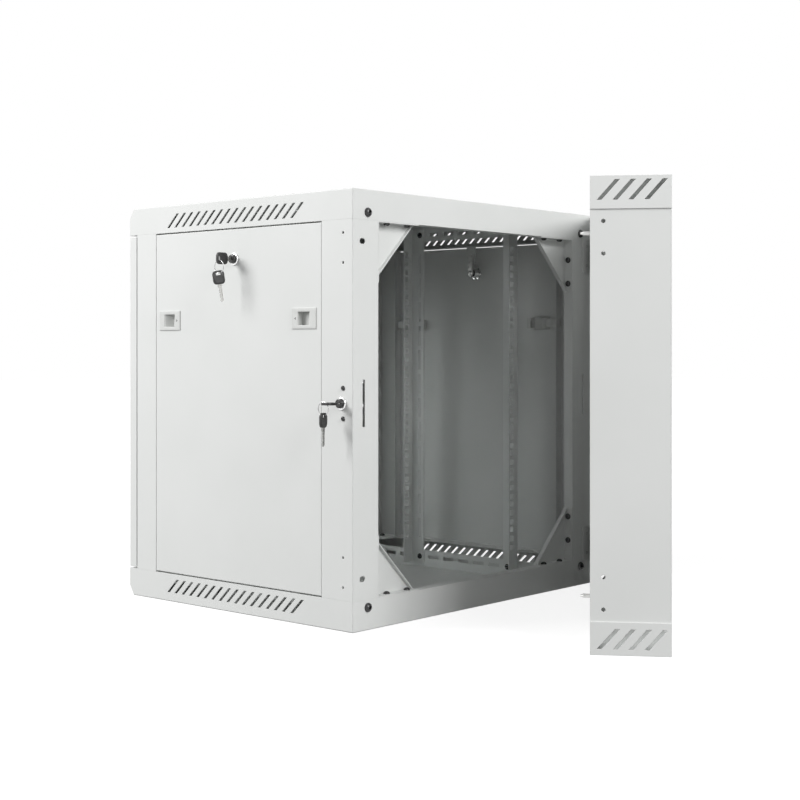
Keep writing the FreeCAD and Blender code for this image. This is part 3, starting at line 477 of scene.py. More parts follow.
def add_plate(mesh, outline, thickness, edge=0):
    """A flat plate from a closed outline, pushed along thickness, with its rims softened."""
    near = [mesh.verts.new(point) for point in outline]
    far = [mesh.verts.new(point + thickness) for point in outline]
    count = len(outline)
    made = [mesh.faces.new(near[::-1]), mesh.faces.new(far)]
    for number in range(count):
        after = (number + 1) % count
        made.append(mesh.faces.new((near[number], near[after], far[after], far[number])))
    if edge:
        rims = [*made[0].edges, *made[1].edges]
        bmesh.ops.bevel(mesh, geom=rims, offset=edge, segments=2, affect="EDGES", profile=0.5)


print("piece helpers ready")

# %% [markdown]
# ## Finding single solids inside a node
#
# Some CAD nodes hold many solids, such as the eight bolts of the frames. To build each bolt again in
# its own place, its box is needed. Welding a copy of the node's mesh and walking from corner to corner
# separates the solids, and each one gives its lowest and highest corner.

# %% Boxes of the solids in a node
def solid_boxes(node):
    mesh = bmesh.new()
    mesh.from_mesh(frame["nodes"][node].data)
    bmesh.ops.remove_doubles(mesh, verts=mesh.verts, dist=0.001 * mm)
    seen = set()
    boxes = []
    for start in mesh.verts:
        waiting = [start]
        members = []
        while waiting:
            vert = waiting.pop()
            if vert not in seen:
                seen.add(vert)
                members.append(vert.co.copy())
                waiting += [edge.other_vert(vert) for edge in vert.link_edges]
        if members:
            spans = list(zip(*members))
            boxes.append((Vector([min(span) for span in spans]), Vector([max(span) for span in spans])))
    mesh.free()
    return boxes


def corner_boxes(prefix):
    """For nodes that stand one in each corner: the box, and the signs of the ways inward and upward."""
    for side, inward in (("left", 1), ("right", -1)):
        for level, upward in (("top", -1), ("bottom", 1)):
            low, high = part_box(prefix + level + "_" + side)
            yield low, high, inward, upward


def far_face(low, high, direction):
    """Middle of a box's far face along a direction, and the length of the box that way."""
    axis = max(range(3), key=lambda number: abs(direction[number]))
    middle = (low + high) / 2
    middle[axis] = (high if sum(direction) > 0 else low)[axis]
    return middle, high[axis] - low[axis]


frame_bolt_boxes = solid_boxes("frame_bolts")
rail_bolt_boxes = solid_boxes("rail_bolts")
print("frame bolts:", len(frame_bolt_boxes), "rail bolts:", len(rail_bolt_boxes))

# %% [markdown]
# ## Bolts
#
# The frames are held to the posts by black button-head bolts with a hexagon socket, one near each
# corner of the rear face, and smaller ones hold the gussets and rails. A button head is a flat dome
# with a sharp lower rim. It could be a squashed sphere, but the rim and the socket are what make it read
# as a bolt, so it is turned from a profile whose inner rings change from round to six flats.

# %% Button-head bolts
head_radius = 5 * mm
head_height = 3.6 * mm
rear_head_radius = 6.8 * mm
shank_radius = 3 * mm
nut_radius = 5.7 * mm
nut_height = 5 * mm
chamfer = 0.4 * mm
rear_grip = 3 * mm
rail_grip = 3.5 * mm

# Shares of the head's height and radius up the dome, then shares of its height and the socket's radius.
dome = ((0, 0.96), (0.06, 1), (0.3, 0.985), (0.58, 0.88), (0.82, 0.72), (0.96, 0.56), (1, 0.5))
socket = ((0.98, 1.06, 0), (0.92, 1, 6), (0.35, 0.98, 6), (0.25, 0.3, 6))
socket_share = 0.42


def button_head(mesh, seat, direction, radius=head_radius, height=head_height):
    hole = radius * socket_share
    rings = [(height * along, radius * share) for along, share in dome]
    rings += [(height * along, hole * share, flats) for along, share, flats in socket]
    turn_shape(mesh, seat, direction, rings)


def shank_and_nut(mesh, seat, direction, end, grip=0):
    """The threaded end behind the sheets. With a grip, a hexagon nut sits that far behind the head."""
    backward = -direction
    shank = [(0, shank_radius), (end, shank_radius), (end + chamfer, shank_radius * 0.8)]
    turn_shape(mesh, seat, backward, shank, sides=20)
    if grip:
        flat = nut_radius * math.cos(math.pi / 6)
        nut = [
            (grip, flat),
            (grip + chamfer, nut_radius, 6),
            (grip + nut_height - chamfer, nut_radius, 6),
            (grip + nut_height, flat),
        ]
        turn_shape(mesh, seat, backward, nut)


def end_bolt(mesh, low, high, direction, grip=0):
    """A small bolt that fills its CAD box, with its head at the far end."""
    tip, length = far_face(low, high, direction)
    seat = tip - direction * head_height
    button_head(mesh, seat, direction)
    shank_and_nut(mesh, seat, direction, length - head_height - chamfer, grip)


def build_frame_bolts():
    """Rear bolts with nuts, and the small bolts that hold the front posts' feet."""
    mesh = bmesh.new()
    for low, high in frame_bolt_boxes:
        centre = (low + high) / 2
        if high.y > rear_face:
            seat = Vector((centre.x, rear_face, centre.z))
            button_head(mesh, seat, Y, rear_head_radius, high.y - rear_face)
            shank_and_nut(mesh, seat, Y, rear_face - low.y - chamfer, rear_grip)
        else:
            end_bolt(mesh, low, high, Z if centre.z < middle_z else -Z)
    make_piece(mesh, "frame_bolt_set", "main_body", "bolt_black", ["frame_bolts"])


def build_rail_bolts():
    mesh = bmesh.new()
    for low, high in rail_bolt_boxes:
        end_bolt(mesh, low, high, -X if low.x > middle_x else X, rail_grip)
    make_piece(mesh, "rail_bolt_set", "main_body", "bolt_black", ["rail_bolts"])


build_frame_bolts()
build_rail_bolts()

# %% [markdown]
# ## Gusset bolts
#
# Each corner gusset is bolted twice to the frame and twice to the post, just inside the rear face. These
# bolts aren't in the CAD at all: they are small, they never move by themselves, and their places follow
# from the gusset's box. The same head function makes them, with the head standing on each flange.

# %% Bolts of the corner gussets
frame_steps = (27 * mm, 72 * mm)
post_steps = (35 * mm, 75 * mm)
flange = 1.5 * mm
bolt_from_rear = 8 * mm


def build_gusset_bolts():
    mesh = bmesh.new()
    for low, high, inward, upward in corner_boxes("gusset_"):
        corner_x = low.x if inward > 0 else high.x
        corner_z = low.z if upward > 0 else high.z
        depth = high.y - bolt_from_rear
        for step in frame_steps:
            seat = Vector((corner_x + inward * step, depth, corner_z + upward * flange))
            button_head(mesh, seat, Z * upward)
        for step in post_steps:
            seat = Vector((corner_x + inward * flange, depth, corner_z + upward * step))
            button_head(mesh, seat, X * inward)
    make_piece(mesh, "gusset_bolt_set", "main_body", "bolt_black")


build_gusset_bolts()

# %% [markdown]
# Two black pan screws hold the lock's inner plate to the rear post, one above and one below the rear
# lock. Their heads are low and round, so the same profile with a smaller height gives them.

# %% Screws beside the rear lock
pan_radius = 3.6 * mm
pan_height = 2.2 * mm
screw_rings = in_mm([(-0.2, 2.5), (6, 2.5)])
lock_screw_step = 22 * mm
post_hole_set_back = 19.2 * mm


def build_lock_screws():
    low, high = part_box("rear_lock_body")
    post_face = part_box("rear_post_right")[1].x
    level = (low.z + high.z) / 2
    mesh = bmesh.new()
    for sign in (-1, 1):
        seat = Vector((post_face, rear_face - post_hole_set_back, level + sign * lock_screw_step))
        button_head(mesh, seat, X, pan_radius, pan_height)
        turn_shape(mesh, seat, -X, screw_rings, sides=20)
    make_piece(mesh, "rear_lock_screws", "main_body", "bolt_black")


build_lock_screws()

# %% [markdown]
# ## Lock bodies
#
# Each lock is a cam lock: a chromed threaded body pushed through a hole in the sheet and held by a big
# flat nut behind it. From outside only the rounded bezel shows. The thread could be a bump texture, but
# the locks stand open to view when the cabinet swings, so small ridges are turned into the profile.

# %% Cam lock bodies
bezel_depth = 2.5 * mm
bezel_rings = in_mm([(2.5, 7.3), (2.5, 8.2), (2.2, 8.9), (1.5, 9.4), (0.6, 9.5), (0, 9.4), (0, 8)])
thread_pitch = 1.2 * mm
crest_radius = 7.95 * mm
root_radius = 7.55 * mm
bore_radius = 7.08 * mm
lock_nut_thickness = 3 * mm
post_sheet = 1.5 * mm
panel_sheet = 1.2 * mm
short_reach = 18.5 * mm
long_reach = 21.5 * mm

# reach is the body's length, and how far the barrel goes in behind the sheet's face. key_way is the way
# of the long side of the key's slot.
Lock = namedtuple("Lock", "name direction reach sheet fixed_body turning_body key_way")
locks = [
    Lock("side_lock_{}_right", X, short_reach, panel_sheet, "main_body", "side_lock_right", Z),
    Lock("side_lock_{}_left", -X, short_reach, panel_sheet, "main_body", "side_lock_left", Z),
    Lock("rear_lock_{}", X, long_reach, post_sheet, "main_body", "rear_lock", Y),
    Lock("door_lock_{}", -Y, long_reach, panel_sheet, "door", "door_lock", Z),
]


def lock_outline(reach):
    """Closed outline of the body from the bezel's face to the inner end and back through the bore."""
    outline = list(bezel_rings)
    along = 1 * mm
    while along < reach - 3.5 * mm:
        outline += [(-along, crest_radius), (-along - thread_pitch / 2, root_radius)]
        along += thread_pitch
    inner_end = bezel_depth - reach
    return outline + [(inner_end, 7.6 * mm), (inner_end, bore_radius), (1.9 * mm, bore_radius)]


def lock_nut_outline(sheet):
    near, far = -sheet, -sheet - lock_nut_thickness
    return [
        (near, 7.7 * mm),
        (near, 10.8 * mm),
        (near - chamfer, 12.4 * mm, 6),
        (far + chamfer, 12.4 * mm, 6),
        (far, 10.8 * mm),
        (far, 7.7 * mm),
    ]


def lock_centre(lock):
    """Where the lock's axis meets the face of the sheet it stands in."""
    bezel_face = far_face(*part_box(lock.name.format("body")), lock.direction)[0]
    return bezel_face - lock.direction * bezel_depth


def build_lock_body(lock):
    mesh = bmesh.new()
    node = lock.name.format("body")
    for outline in (lock_outline(lock.reach), lock_nut_outline(lock.sheet)):
        turn_shape(mesh, lock_centre(lock), lock.direction, outline, sides=48, tube=True)
    make_piece(mesh, node + "_turned", lock.fixed_body, "bezel_chrome", [node])


for lock in locks:
    build_lock_body(lock)

# %% [markdown]
# ## Lock barrels and their cams
#
# The black barrel turns inside the body. Its head stands proud of the bezel, with a rounded rim, a
# shallow ring round the face and a slot for the key. The barrel is turned and the slot is cut with
# `cut_away`, because a slot that is really empty shows its depth from every side.

# %% Barrels
barrel_radius = 7 * mm
barrel_proud = 7 * mm
keyway_depth = 13 * mm
keyway_length = 6.4 * mm
keyway_width = 2 * mm
keyway_overshoot = 1 * mm

# Millimetres below the barrel's face, and shares of its radius: first the rim, then the ring in the face.
barrel_rim = ((1.3, 1), (0.9, 0.985), (0.4, 0.94), (0.05, 0.86))
face_ring = ((0, 0.8), (0.35, 0.74), (0.35, 0.66), (0.05, 0.6))


def barrel_rings(reach):
    rings = [(-reach, barrel_radius * 0.97), (-reach + chamfer, barrel_radius)]
    for below, share in barrel_rim + face_ring:
        rings.append((barrel_proud - below * mm, barrel_radius * share))
    return rings


def cut_keyway(piece, face, lock):
    """A slot into the barrel's face, with its long side along the lock's key way."""
    across = lock.direction.cross(lock.key_way)
    middle = face - lock.direction * (keyway_depth / 2 - keyway_overshoot)
    cutter = bmesh.new()
    for vert in bmesh.ops.create_cube(cutter, size=1.0)["verts"]:
        a, b, c = vert.co
        spot = middle + lock.direction * (a * keyway_depth) + lock.key_way * (b * keyway_length)
        vert.co = spot + across * (c * keyway_width)
    cut_away(piece, cutter)


def build_barrel(lock):
    mesh = bmesh.new()
    base = lock_centre(lock)
    node = lock.name.format("barrel")
    turn_shape(mesh, base, lock.direction, barrel_rings(lock.reach), sides=48)
    piece = make_piece(mesh, node + "_turned", lock.turning_body, "barrel_black", [node])
    cut_keyway(piece, base + lock.direction * barrel_proud, lock)


for lock in locks:
    build_barrel(lock)

# %% [markdown]
# Behind the sheet a flat plated cam sits on the barrel's end under a screw. Turning the key swings it
# behind the edge of the opening. The rear lock has a hook instead, and that one comes from the CAD.

# %% Cams and cam screws
cam_reach = 34 * mm
cam_half = 6 * mm
cam_thickness = 2 * mm
cam_screw = in_mm([(0, 4.9), (1.2, 4.9), (2.2, 4), (2.9, 2)])


def cam_outline(steps=12):
    """A strip with two half circles for ends, as places across and up from the barrel's axis."""
    points = []
    for start, middle in ((0, cam_reach - cam_half), (math.pi, 0)):
        for step in range(steps + 1):
            angle = start + math.pi * step / steps
            points.append((cam_half * math.cos(angle), middle + cam_half * math.sin(angle)))
    return points


def build_cam(lock):
    """A plated strip that points up from the barrel's inner end, with its screw."""
    side = upright_frame(lock.direction)[1]
    base = lock_centre(lock) - lock.direction * lock.reach
    mesh = bmesh.new()
    inward = -lock.direction * cam_thickness
    add_plate(mesh, [base + side * a + Z * b for a, b in cam_outline()], inward, edge=0.3 * mm)
    turn_shape(mesh, base + inward, -lock.direction, cam_screw, sides=24)
    make_piece(mesh, lock.name.format("cam"), lock.turning_body, "zinc_steel")


for lock in locks:
    if lock.turning_body != "rear_lock":
        build_cam(lock)

# %% [markdown]
# ## Keys
#
# A key has a black moulded bow with a slot for the ring, and a flat nickel-plated blade. The bow's
# corners are well rounded and its faces are softened at the rim. Both keys of a pair have the same
# shape, so it is drawn once, lying along +X with the end of the bow at zero, and then put in place by a
# matrix. The bow's hole is part of the outline work: a plate with a hole is easiest as a Boolean.

# %% Key shape
bow_length = 21 * mm
bow_width = 18 * mm
bow_thickness = 3.5 * mm
pocket_depth = 0.35 * mm
key_length = 48 * mm
blade_half = 0.9 * mm
cutter_half = 4 * mm


def rounded_outline(low, high, radius, steps=6):
    """Corners of a rounded rectangle in the key's own plane."""
    points = []
    centres = (
        (high[0] - radius, high[1] - radius, 0),
        (low[0] + radius, high[1] - radius, 90),
        (low[0] + radius, low[1] + radius, 180),
        (high[0] - radius, low[1] + radius, 270),
    )
    for a, b, start in centres:
        for step in range(steps + 1):
            angle = math.radians(start + 90 * step / steps)
            points.append((a + radius * math.cos(angle), b + radius * math.sin(angle)))
    return points


def at_depth(outline, y):
    return [Vector((a, y, b)) for a, b in outline]


bow = rounded_outline((-bow_length, -bow_width / 2), (0, bow_width / 2), 5 * mm)
eye = rounded_outline((-7 * mm, -4 * mm), (-3 * mm, 4 * mm), 1.2 * mm)
pocket = rounded_outline((-bow_length + 3.2 * mm, -5.6 * mm), (-9.5 * mm, 5.6 * mm), 2 * mm)


def build_bow(name, place, body, stands_for):
    mesh = bmesh.new()
    add_plate(mesh, at_depth(bow, -bow_thickness / 2), Y * bow_thickness, edge=0.7 * mm)
    piece = make_piece(mesh, name, body, "key_black", stands_for)
    cutter = bmesh.new()
    add_plate(cutter, at_depth(eye, -cutter_half), Y * 2 * cutter_half)
    cut_away(piece, cutter)
    cutter = bmesh.new()
    for side in (-1, 1):
        add_plate(cutter, at_depth(pocket, side * (bow_thickness / 2 - pocket_depth)), Y * side * mm)
    cut_away(piece, cutter)
    put_in_place(piece, place)


def put_in_place(piece, place):
    piece.data.transform(place)
    piece.data.update()


print("key bow", round(bow_length / mm), "by", round(bow_width / mm), "mm")

# %% [markdown]
# The blade is a flat plate too. One edge is straight and the other has cuts of different depths, and a
# groove runs along each face so that only this key fits its lock.

# %% Key blade
blade_edge = 2.4 * mm
shoulder_edge = 3.4 * mm
cut_depths = (1.0, 1.9, 0.8, 1.5, 1.1)
cut_step = 3.6 * mm
groove_offset = 1.2 * mm
groove_half = 0.75 * mm


def blade_outline():
    """The blade's edge: a straight back, and cuts of different depths on the other side."""
    root = -bow_length + 1.5 * mm
    shoulder = -bow_length - 3 * mm
    points = [(root, shoulder_edge), (shoulder, shoulder_edge), (shoulder - 1 * mm, 2.6 * mm)]
    points += [(-key_length + 2.5 * mm, blade_edge), (-key_length, 0.8 * mm)]
    points += [(-key_length, -0.6 * mm), (-key_length + 2.4 * mm, -2.2 * mm)]
    for number, depth in enumerate(cut_depths):
        at = -key_length + 4 * mm + number * cut_step
        points += [(at, -blade_edge), (at + 1.2 * mm, -depth * mm)]
        points += [(at + 2 * mm, -depth * mm), (at + 3.2 * mm, -blade_edge)]
    return points + [(shoulder - 0.4 * mm, -shoulder_edge), (root, -shoulder_edge)]


def build_blade(name, place, body):
    mesh = bmesh.new()
    add_plate(mesh, at_depth(blade_outline(), -blade_half), Y * 2 * blade_half)
    # The blade's nickel is painted darker, which stands in for the dark surroundings it reflects.
    piece = make_piece(mesh, name, body, "ring_steel", finish=metals["key_blade_nickel_painted_dark"])
    groove = bmesh.new()
    for side in (-1, 1):
        low = Vector((-key_length - mm, side * groove_offset - groove_half, 0.2 * mm))
        high = Vector((-bow_length - mm, side * groove_offset + groove_half, 1.5 * mm))
        for vert in bmesh.ops.create_cube(groove, size=1.0)["verts"]:
            vert.co = low + Vector([(at + 0.5) * span for at, span in zip(vert.co, high - low)])
    cut_away(piece, groove)
    put_in_place(piece, place)


print("blade points:", len(blade_outline()))

# %% [markdown]
# The working key of each lock sits in its barrel. Its place follows from its CAD box: the bow's end is
# the box's +X side, and the box's longer cross side tells which way the key is turned. The spare key
# hangs from the ring at an angle, so its box alone isn't enough. Its flat sides are the largest faces of
# the CAD solid, and its length is the direction in which a box drawn round it is smallest.

# %% Put the keys in place
tilt_limit = 15.0
tilt_step = 0.1


def working_key_place(node):
    low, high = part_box(node)
    centre = (low + high) / 2
    turn = Matrix.Identity(4)
    if high.y - low.y > high.z - low.z:
        turn = Matrix.Rotation(math.radians(90), 4, "X")
    return Matrix.Translation(Vector((high.x, centre.y, centre.z))) @ turn


def spare_key_place(node):
    """The key's own axes, read from the CAD solid: first its thickness, then its length."""
    data = frame["nodes"][node].data
    thickness = max(data.polygons, key=lambda face: face.area).normal.normalized()
    if thickness.y < 0:
        thickness = -thickness
    points = [vert.co.copy() for vert in data.vertices]
    far = max(points, key=lambda point: (point - points[0]).length)
    other = max(points, key=lambda point: (point - far).length)
    rough = (far - other).normalized()
    if rough.z < 0:
        rough = -rough
    bow_end, length = bow_end_and_length(points, rough, thickness)
    width = length.cross(thickness).normalized()
    turn = Matrix((length, thickness, width)).transposed().to_4x4()
    return Matrix.Translation(bow_end) @ turn


def bow_end_and_length(points, rough, thickness):
    """Tries directions near the rough one, and keeps the one whose box round the key is smallest."""
    smallest = math.inf
    tries = round(tilt_limit / tilt_step)
    for number in range(-tries, tries + 1):
        turned = Matrix.Rotation(math.radians(number * tilt_step), 3, thickness) @ rough
        turned = (turned - thickness * turned.dot(thickness)).normalized()
        width = turned.cross(thickness)
        across = [point.dot(width) for point in points]
        along = [point.dot(turned) for point in points]
        area = (max(across) - min(across)) * (max(along) - min(along))
        if area < smallest:
            smallest = area
            length = turned
            end = turned * max(along) + width * ((max(across) + min(across)) / 2)
    depths = [point.dot(thickness) for point in points]
    return end + thickness * ((max(depths) + min(depths)) / 2), length


keys = [
    ("side_key", working_key_place, "side_lock_right"),
    ("side_spare_key", spare_key_place, "side_spare"),
    ("rear_key", working_key_place, "rear_lock"),
    ("rear_spare_key", spare_key_place, "rear_spare"),
]
for node, find_place, body in keys:
    key_place = find_place(node)
    build_bow(node + "_bow", key_place, body, [node])
    build_blade(node + "_blade", key_place, body)

# %% [markdown]
# ## Key rings
#
# A split ring is one piece of spring wire wound twice round, with both ends lying flat against the other
# turn. In CAD it is a plain hoop. Here a tube follows two turns of a circle while it shifts sideways by
# one wire, so the two turns lie side by side and cross over once. The tube is a mesh built ring by ring
# along that path.

# %% Split rings
wire_radius = 0.4 * mm
wire_sides = 10
start_angle = math.radians(200)
crossing = 0.06


def split_ring_path(centre, radius, turns=2, steps=72):
    """Points along the wire. It crosses over within a small share of its length, half way along."""
    points = []
    total = turns * steps
    for number in range(total + 1):
        angle = 2 * math.pi * number / steps + start_angle
        share = number / total - 0.5
        shift = (1 if share > 0 else -1) * wire_radius
        if abs(share) < crossing:
            shift = share / crossing * wire_radius
        points.append(centre + Vector((shift, radius * math.cos(angle), radius * math.sin(angle))))
    return points


def build_ring(node, body):
    low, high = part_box(node)
    mesh = bmesh.new()
    radius = (high.z - low.z) / 2 - 2 * wire_radius
    points = split_ring_path((low + high) / 2, radius)
    loops = []
    for before, point, after in zip(points[:1] + points, points, points[1:] + points[-1:]):
        circle = ring_points(point, after - before, wire_radius, wire_sides)
        loops.append([mesh.verts.new(place) for place in circle])
    join_loops(mesh, loops)
    make_piece(mesh, node + "_coil", body, "ring_steel", [node])


build_ring("side_key_ring", "side_ring")
build_ring("rear_key_ring", "rear_ring")

# %% [markdown]
# ## Finger latches
#
# A latch is a moulded plate with a fingertip cup. The cup is deepest at the end nearer the middle of
# the panel and its floor slopes up toward the panel's edge, so that a finger can pull. A plate like this
# could be a Boolean, but its edges would stay knife sharp. It is built as a height field instead: lines
# are laid across the plate wherever the shape turns, and each crossing gets its height from one
# function. The lines sit close together at the rims, which rounds them.

# %% Height of a latch
plate_size = (50 * mm, 31 * mm)
cup_size = (24.6 * mm, 19.6 * mm)
plate_height = 1.5 * mm
cup_depth = 10.4 * mm
rim_round = 0.7 * mm
slope_start = 0.54


def rounded_step(inside):
    """How far a rounded rim has fallen, as a share of its radius, at a distance inside the edge."""
    if inside >= rim_round:
        return 0.0
    return 1.0 - math.sqrt(max(0.0, 1 - (1 - inside / rim_round) ** 2))


def cup_floor(along):
    """Depth of the cup below the plate's face. along runs from 0 at the steep end to 1 at the other."""
    if along < slope_start:
        return cup_depth
    return cup_depth * (1 - (along - slope_start) / (1 - slope_start))


def latch_lines(direction, crowded):
    """Places of the grid lines across one direction of the plate, from its middle."""
    half, hole = plate_size[direction] / 2, cup_size[direction] / 2
    rims = [0, 0.08, 0.2, 0.4, 0.7, 1.0]
    lines = [half - rim_round * rim for rim in rims]
    lines += [hole + rim_round * rim for rim in rims]
    lines += [hole - 0.05 * mm]
    lines += [hole * share / crowded for share in range(crowded)]
    return sorted({round(sign * line, 7) for line in lines for sign in (-1, 1)})


def latch_height(a, b):
    """Height at a, measured toward the steep end, and b, measured up the plate."""
    edge = min(plate_size[0] / 2 - abs(a), plate_size[1] / 2 - abs(b))
    height = plate_height - rim_round * rounded_step(edge)
    outside = max(abs(a) - cup_size[0] / 2, abs(b) - cup_size[1] / 2)
    if outside >= -0.01 * mm:
        return height - rim_round * rounded_step(max(outside, 0.0))
    along = (cup_size[0] / 2 - a) / cup_size[0]
    return min(height - rim_round, plate_height - cup_floor(along))


lines_along = latch_lines(0, 12)
lines_up = latch_lines(1, 6)
print("latch lines:", len(lines_along), "by", len(lines_up))

# %% [markdown]
# The height field is only a skin, so it is pushed back by the wall's thickness to make a moulding. A
# tongue runs from behind the cup past the panel's edge: it is the part that holds the panel.

# %% Build the latches
back_of_plate = 0.05 * mm
shell = 0.9 * mm
cup_starts = plate_height - 1.2 * rim_round - 0.2 * mm
tongue_set_in = 9.2 * mm
tongue_half = 7 * mm
tongue_thickness = 2 * mm
tongue_chamfer = 2 * mm


def build_latch(node, outward, steep, body):
    """outward is the panel's outer side along X, and steep is the way along Y to the cup's steep end."""
    low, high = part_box(node)
    face_x = (high.x if outward > 0 else low.x) - outward * plate_height
    tip = low.y if steep > 0 else high.y
    plate_y = tip + steep * (high.y - low.y - plate_size[0] / 2)
    centre = Vector((face_x, plate_y, (low.z + high.z) / 2))
    mesh = bmesh.new()
    grid = []
    for a in lines_along:
        spots = [Vector((outward * latch_height(a, b), steep * a, b)) for b in lines_up]
        grid.append([mesh.verts.new(centre + spot) for spot in spots])
    for first, second in zip(grid, grid[1:]):
        for number in range(len(lines_up) - 1):
            mesh.faces.new((first[number], first[number + 1], second[number + 1], second[number]))
    close_back(mesh, centre, outward)
    add_tongue(mesh, centre, tip, outward, steep)
    make_piece(mesh, node + "_moulded", body, "latch_grey", [node])
    return centre


def close_back(mesh, centre, outward):
    """Gives the moulding a wall thickness behind its face."""
    bmesh.ops.recalc_face_normals(mesh, faces=mesh.faces)
    front = list(mesh.faces)
    if sum(face.normal.x * face.calc_area() for face in front) * outward < 0:
        bmesh.ops.reverse_faces(mesh, faces=front)
    made = bmesh.ops.extrude_face_region(mesh, geom=front)
    for vert in (item for item in made["geom"] if isinstance(item, bmesh.types.BMVert)):
        depth = (vert.co.x - centre.x) * outward
        sunk = depth - shell if depth < cup_starts else back_of_plate
        vert.co.x = centre.x + outward * min(sunk, back_of_plate)


def add_tongue(mesh, centre, tip, outward, steep):
    """A flat strip from the cup past the panel's edge, with the corners of its tip cut off."""
    root = centre.y - steep * (cup_size[0] / 2 - 2 * mm)
    shoulder = tip + steep * tongue_chamfer
    narrow = tongue_half - tongue_chamfer
    outline = [(root, -tongue_half), (root, tongue_half), (shoulder, tongue_half)]
    outline += [(tip, narrow), (tip, -narrow), (shoulder, -tongue_half)]
    depth = centre.x - outward * tongue_set_in
    spots = [Vector((depth, y, centre.z + b)) for y, b in outline]
    add_plate(mesh, spots, X * outward * tongue_thickness, edge=0.2 * mm)


latches = [
    ("latch_slider_right_front", 1, 1, "latch_right_front"),
    ("latch_slider_right_rear", 1, -1, "latch_right_rear"),
    ("latch_slider_left_front", -1, 1, "latch_left_front"),
    ("latch_slider_left_rear", -1, -1, "latch_left_rear"),
]
latch_centres = [build_latch(*latch) for latch in latches]

# %% [markdown]
# Each latch has a small arrow by the deep end of its cup that shows which way it slides. It is a
# separate dark triangle a tenth of a millimetre high: thin enough to look moulded in, and it needs no
# texture.

# %% Latch arrows
arrow_start = cup_size[0] / 2 + 4 * mm
arrow_length = 3.6 * mm
arrow_half = 2.2 * mm
arrow_sunk = 0.1 * mm
arrow_thickness = 0.12 * mm


def build_arrow(node, outward, steep, body, centre):
    base = centre + Vector((outward * (plate_height - arrow_sunk), 0, 0))
    outline = [(arrow_start + arrow_length, 0), (arrow_start, -arrow_half), (arrow_start, arrow_half)]
    mesh = bmesh.new()
    add_plate(mesh, [base + Vector((0, steep * a, b)) for a, b in outline], X * outward * arrow_thickness)
    make_piece(mesh, node + "_arrow", body, "latch_grey", finish=arrow_plastic)


for latch, centre in zip(latches, latch_centres):
    build_arrow(*latch, centre)

# %% [markdown]
# ## Hinges
#
# The wall section carries the main body on two butt hinges. Each hinge has two flat leaves whose
# knuckles interlock round one pin. The CAD knuckles have ten sides. Here each leaf is a plate with
# rounded free corners, each knuckle is a turned tube, and countersunk screws hold the leaves.

# %% Hinge leaves and knuckles
hinge_centre = Vector(hinge["pos_m"])
hinge_spans = sorted((low.z, high.z) for low, high in solid_boxes("hinge_pins"))
section_gap = 3 * mm
knuckle_radius = 3.5 * mm
pin_radius = 2 * mm
leaf_width = 25 * mm
leaf_thickness = 1.4 * mm
leaf_inset = 0.3 * mm
leaf_corner = 4 * mm
knuckle_gap = 0.3 * mm
web_end = base_low.x + 0.6 * mm


def on_pin(level):
    return Vector((hinge_centre.x, hinge_centre.y, level))


def knuckle(mesh, low, high):
    inner = pin_radius + 0.05 * mm
    length = high - low
    soft = 0.25 * mm
    outline = [
        (0, inner),
        (0, knuckle_radius - soft),
        (soft, knuckle_radius),
        (length - soft, knuckle_radius),
        (length, knuckle_radius - soft),
        (length, inner),
    ]
    turn_shape(mesh, on_pin(low), Z, outline, sides=32, tube=True)


def leaf_outline(low, high):
    """A leaf seen from behind the cabinet, with its two free corners rounded."""
    left = base_low.x + leaf_inset
    middle = base_low.x + leaf_width - leaf_corner
    points = [(left, high), (left, low)]
    for level, start in ((low + leaf_corner, -90), (high - leaf_corner, 0)):
        for step in range(7):
            angle = math.radians(start + 15 * step)
            points.append((middle + leaf_corner * math.cos(angle), level + leaf_corner * math.sin(angle)))
    return points


def build_leaves(side, body, start_y, thirds, gap, place):
    """thirds are the parts of the pin that this side's knuckles hold, as (first, last) pairs.

    place carries a leaf drawn with the section shut to where its body is at rest.
    """
    mesh = bmesh.new()
    push = (place.to_3x3() @ Y) * leaf_thickness
    for low, high in hinge_spans:
        third = (high - low) / 3
        flat = [place @ point for point in at_depth(leaf_outline(low, high), start_y)]
        add_plate(mesh, flat, push, edge=0.2 * mm)
        for first, last in thirds:
            start = low + first * third + gap
            end = low + last * third - gap
            knuckle(mesh, start, end)
            web = [(hinge_centre.x, start), (web_end, start), (web_end, end), (hinge_centre.x, end)]
            add_plate(mesh, [place @ point for point in at_depth(web, start_y)], push)
    make_piece(mesh, side + "_leaf_set", body, "grey_paint", [side + "_hinge_leaves"])


def section_turn():
    """From the shut section to the section at rest: a turn about the hinge."""
    turn = Matrix.Rotation(-math.radians(hinge["range_deg"][0]), 4, "Z")
    return Matrix.Translation(hinge_centre) @ turn @ Matrix.Translation(-hinge_centre)


still = Matrix.Identity(4)
swung = section_turn()
section_leaf = rear_face + (section_gap - leaf_thickness)
build_leaves("main", "main_body", rear_face, [(0, 1), (2, 3)], 0, still)
build_leaves("section", "wall_section", section_leaf, [(1, 2)], knuckle_gap, swung)

# %% [markdown]
# A pin with chamfered ends runs through each hinge, and two countersunk screws hold each leaf. Their
# heads lie flush, because the leaves nearly touch when the cabinet is shut.

# %% Hinge pins and leaf screws
leaf_screw_column = base_low.x + 13 * mm
leaf_screw_shares = (0.22, 0.78)
leaf_screw_radius = 2.5 * mm
pin_end = pin_radius * 0.8


def build_pins():
    mesh = bmesh.new()
    for low, high in hinge_spans:
        length = high - low
        rings = [(0, pin_end), (0.3 * mm, pin_radius), (length - 0.3 * mm, pin_radius), (length, pin_end)]
        turn_shape(mesh, on_pin(low), Z, rings, sides=28)
    make_piece(mesh, "hinge_pin_set", "wall_section", "zinc_steel", ["hinge_pins"])


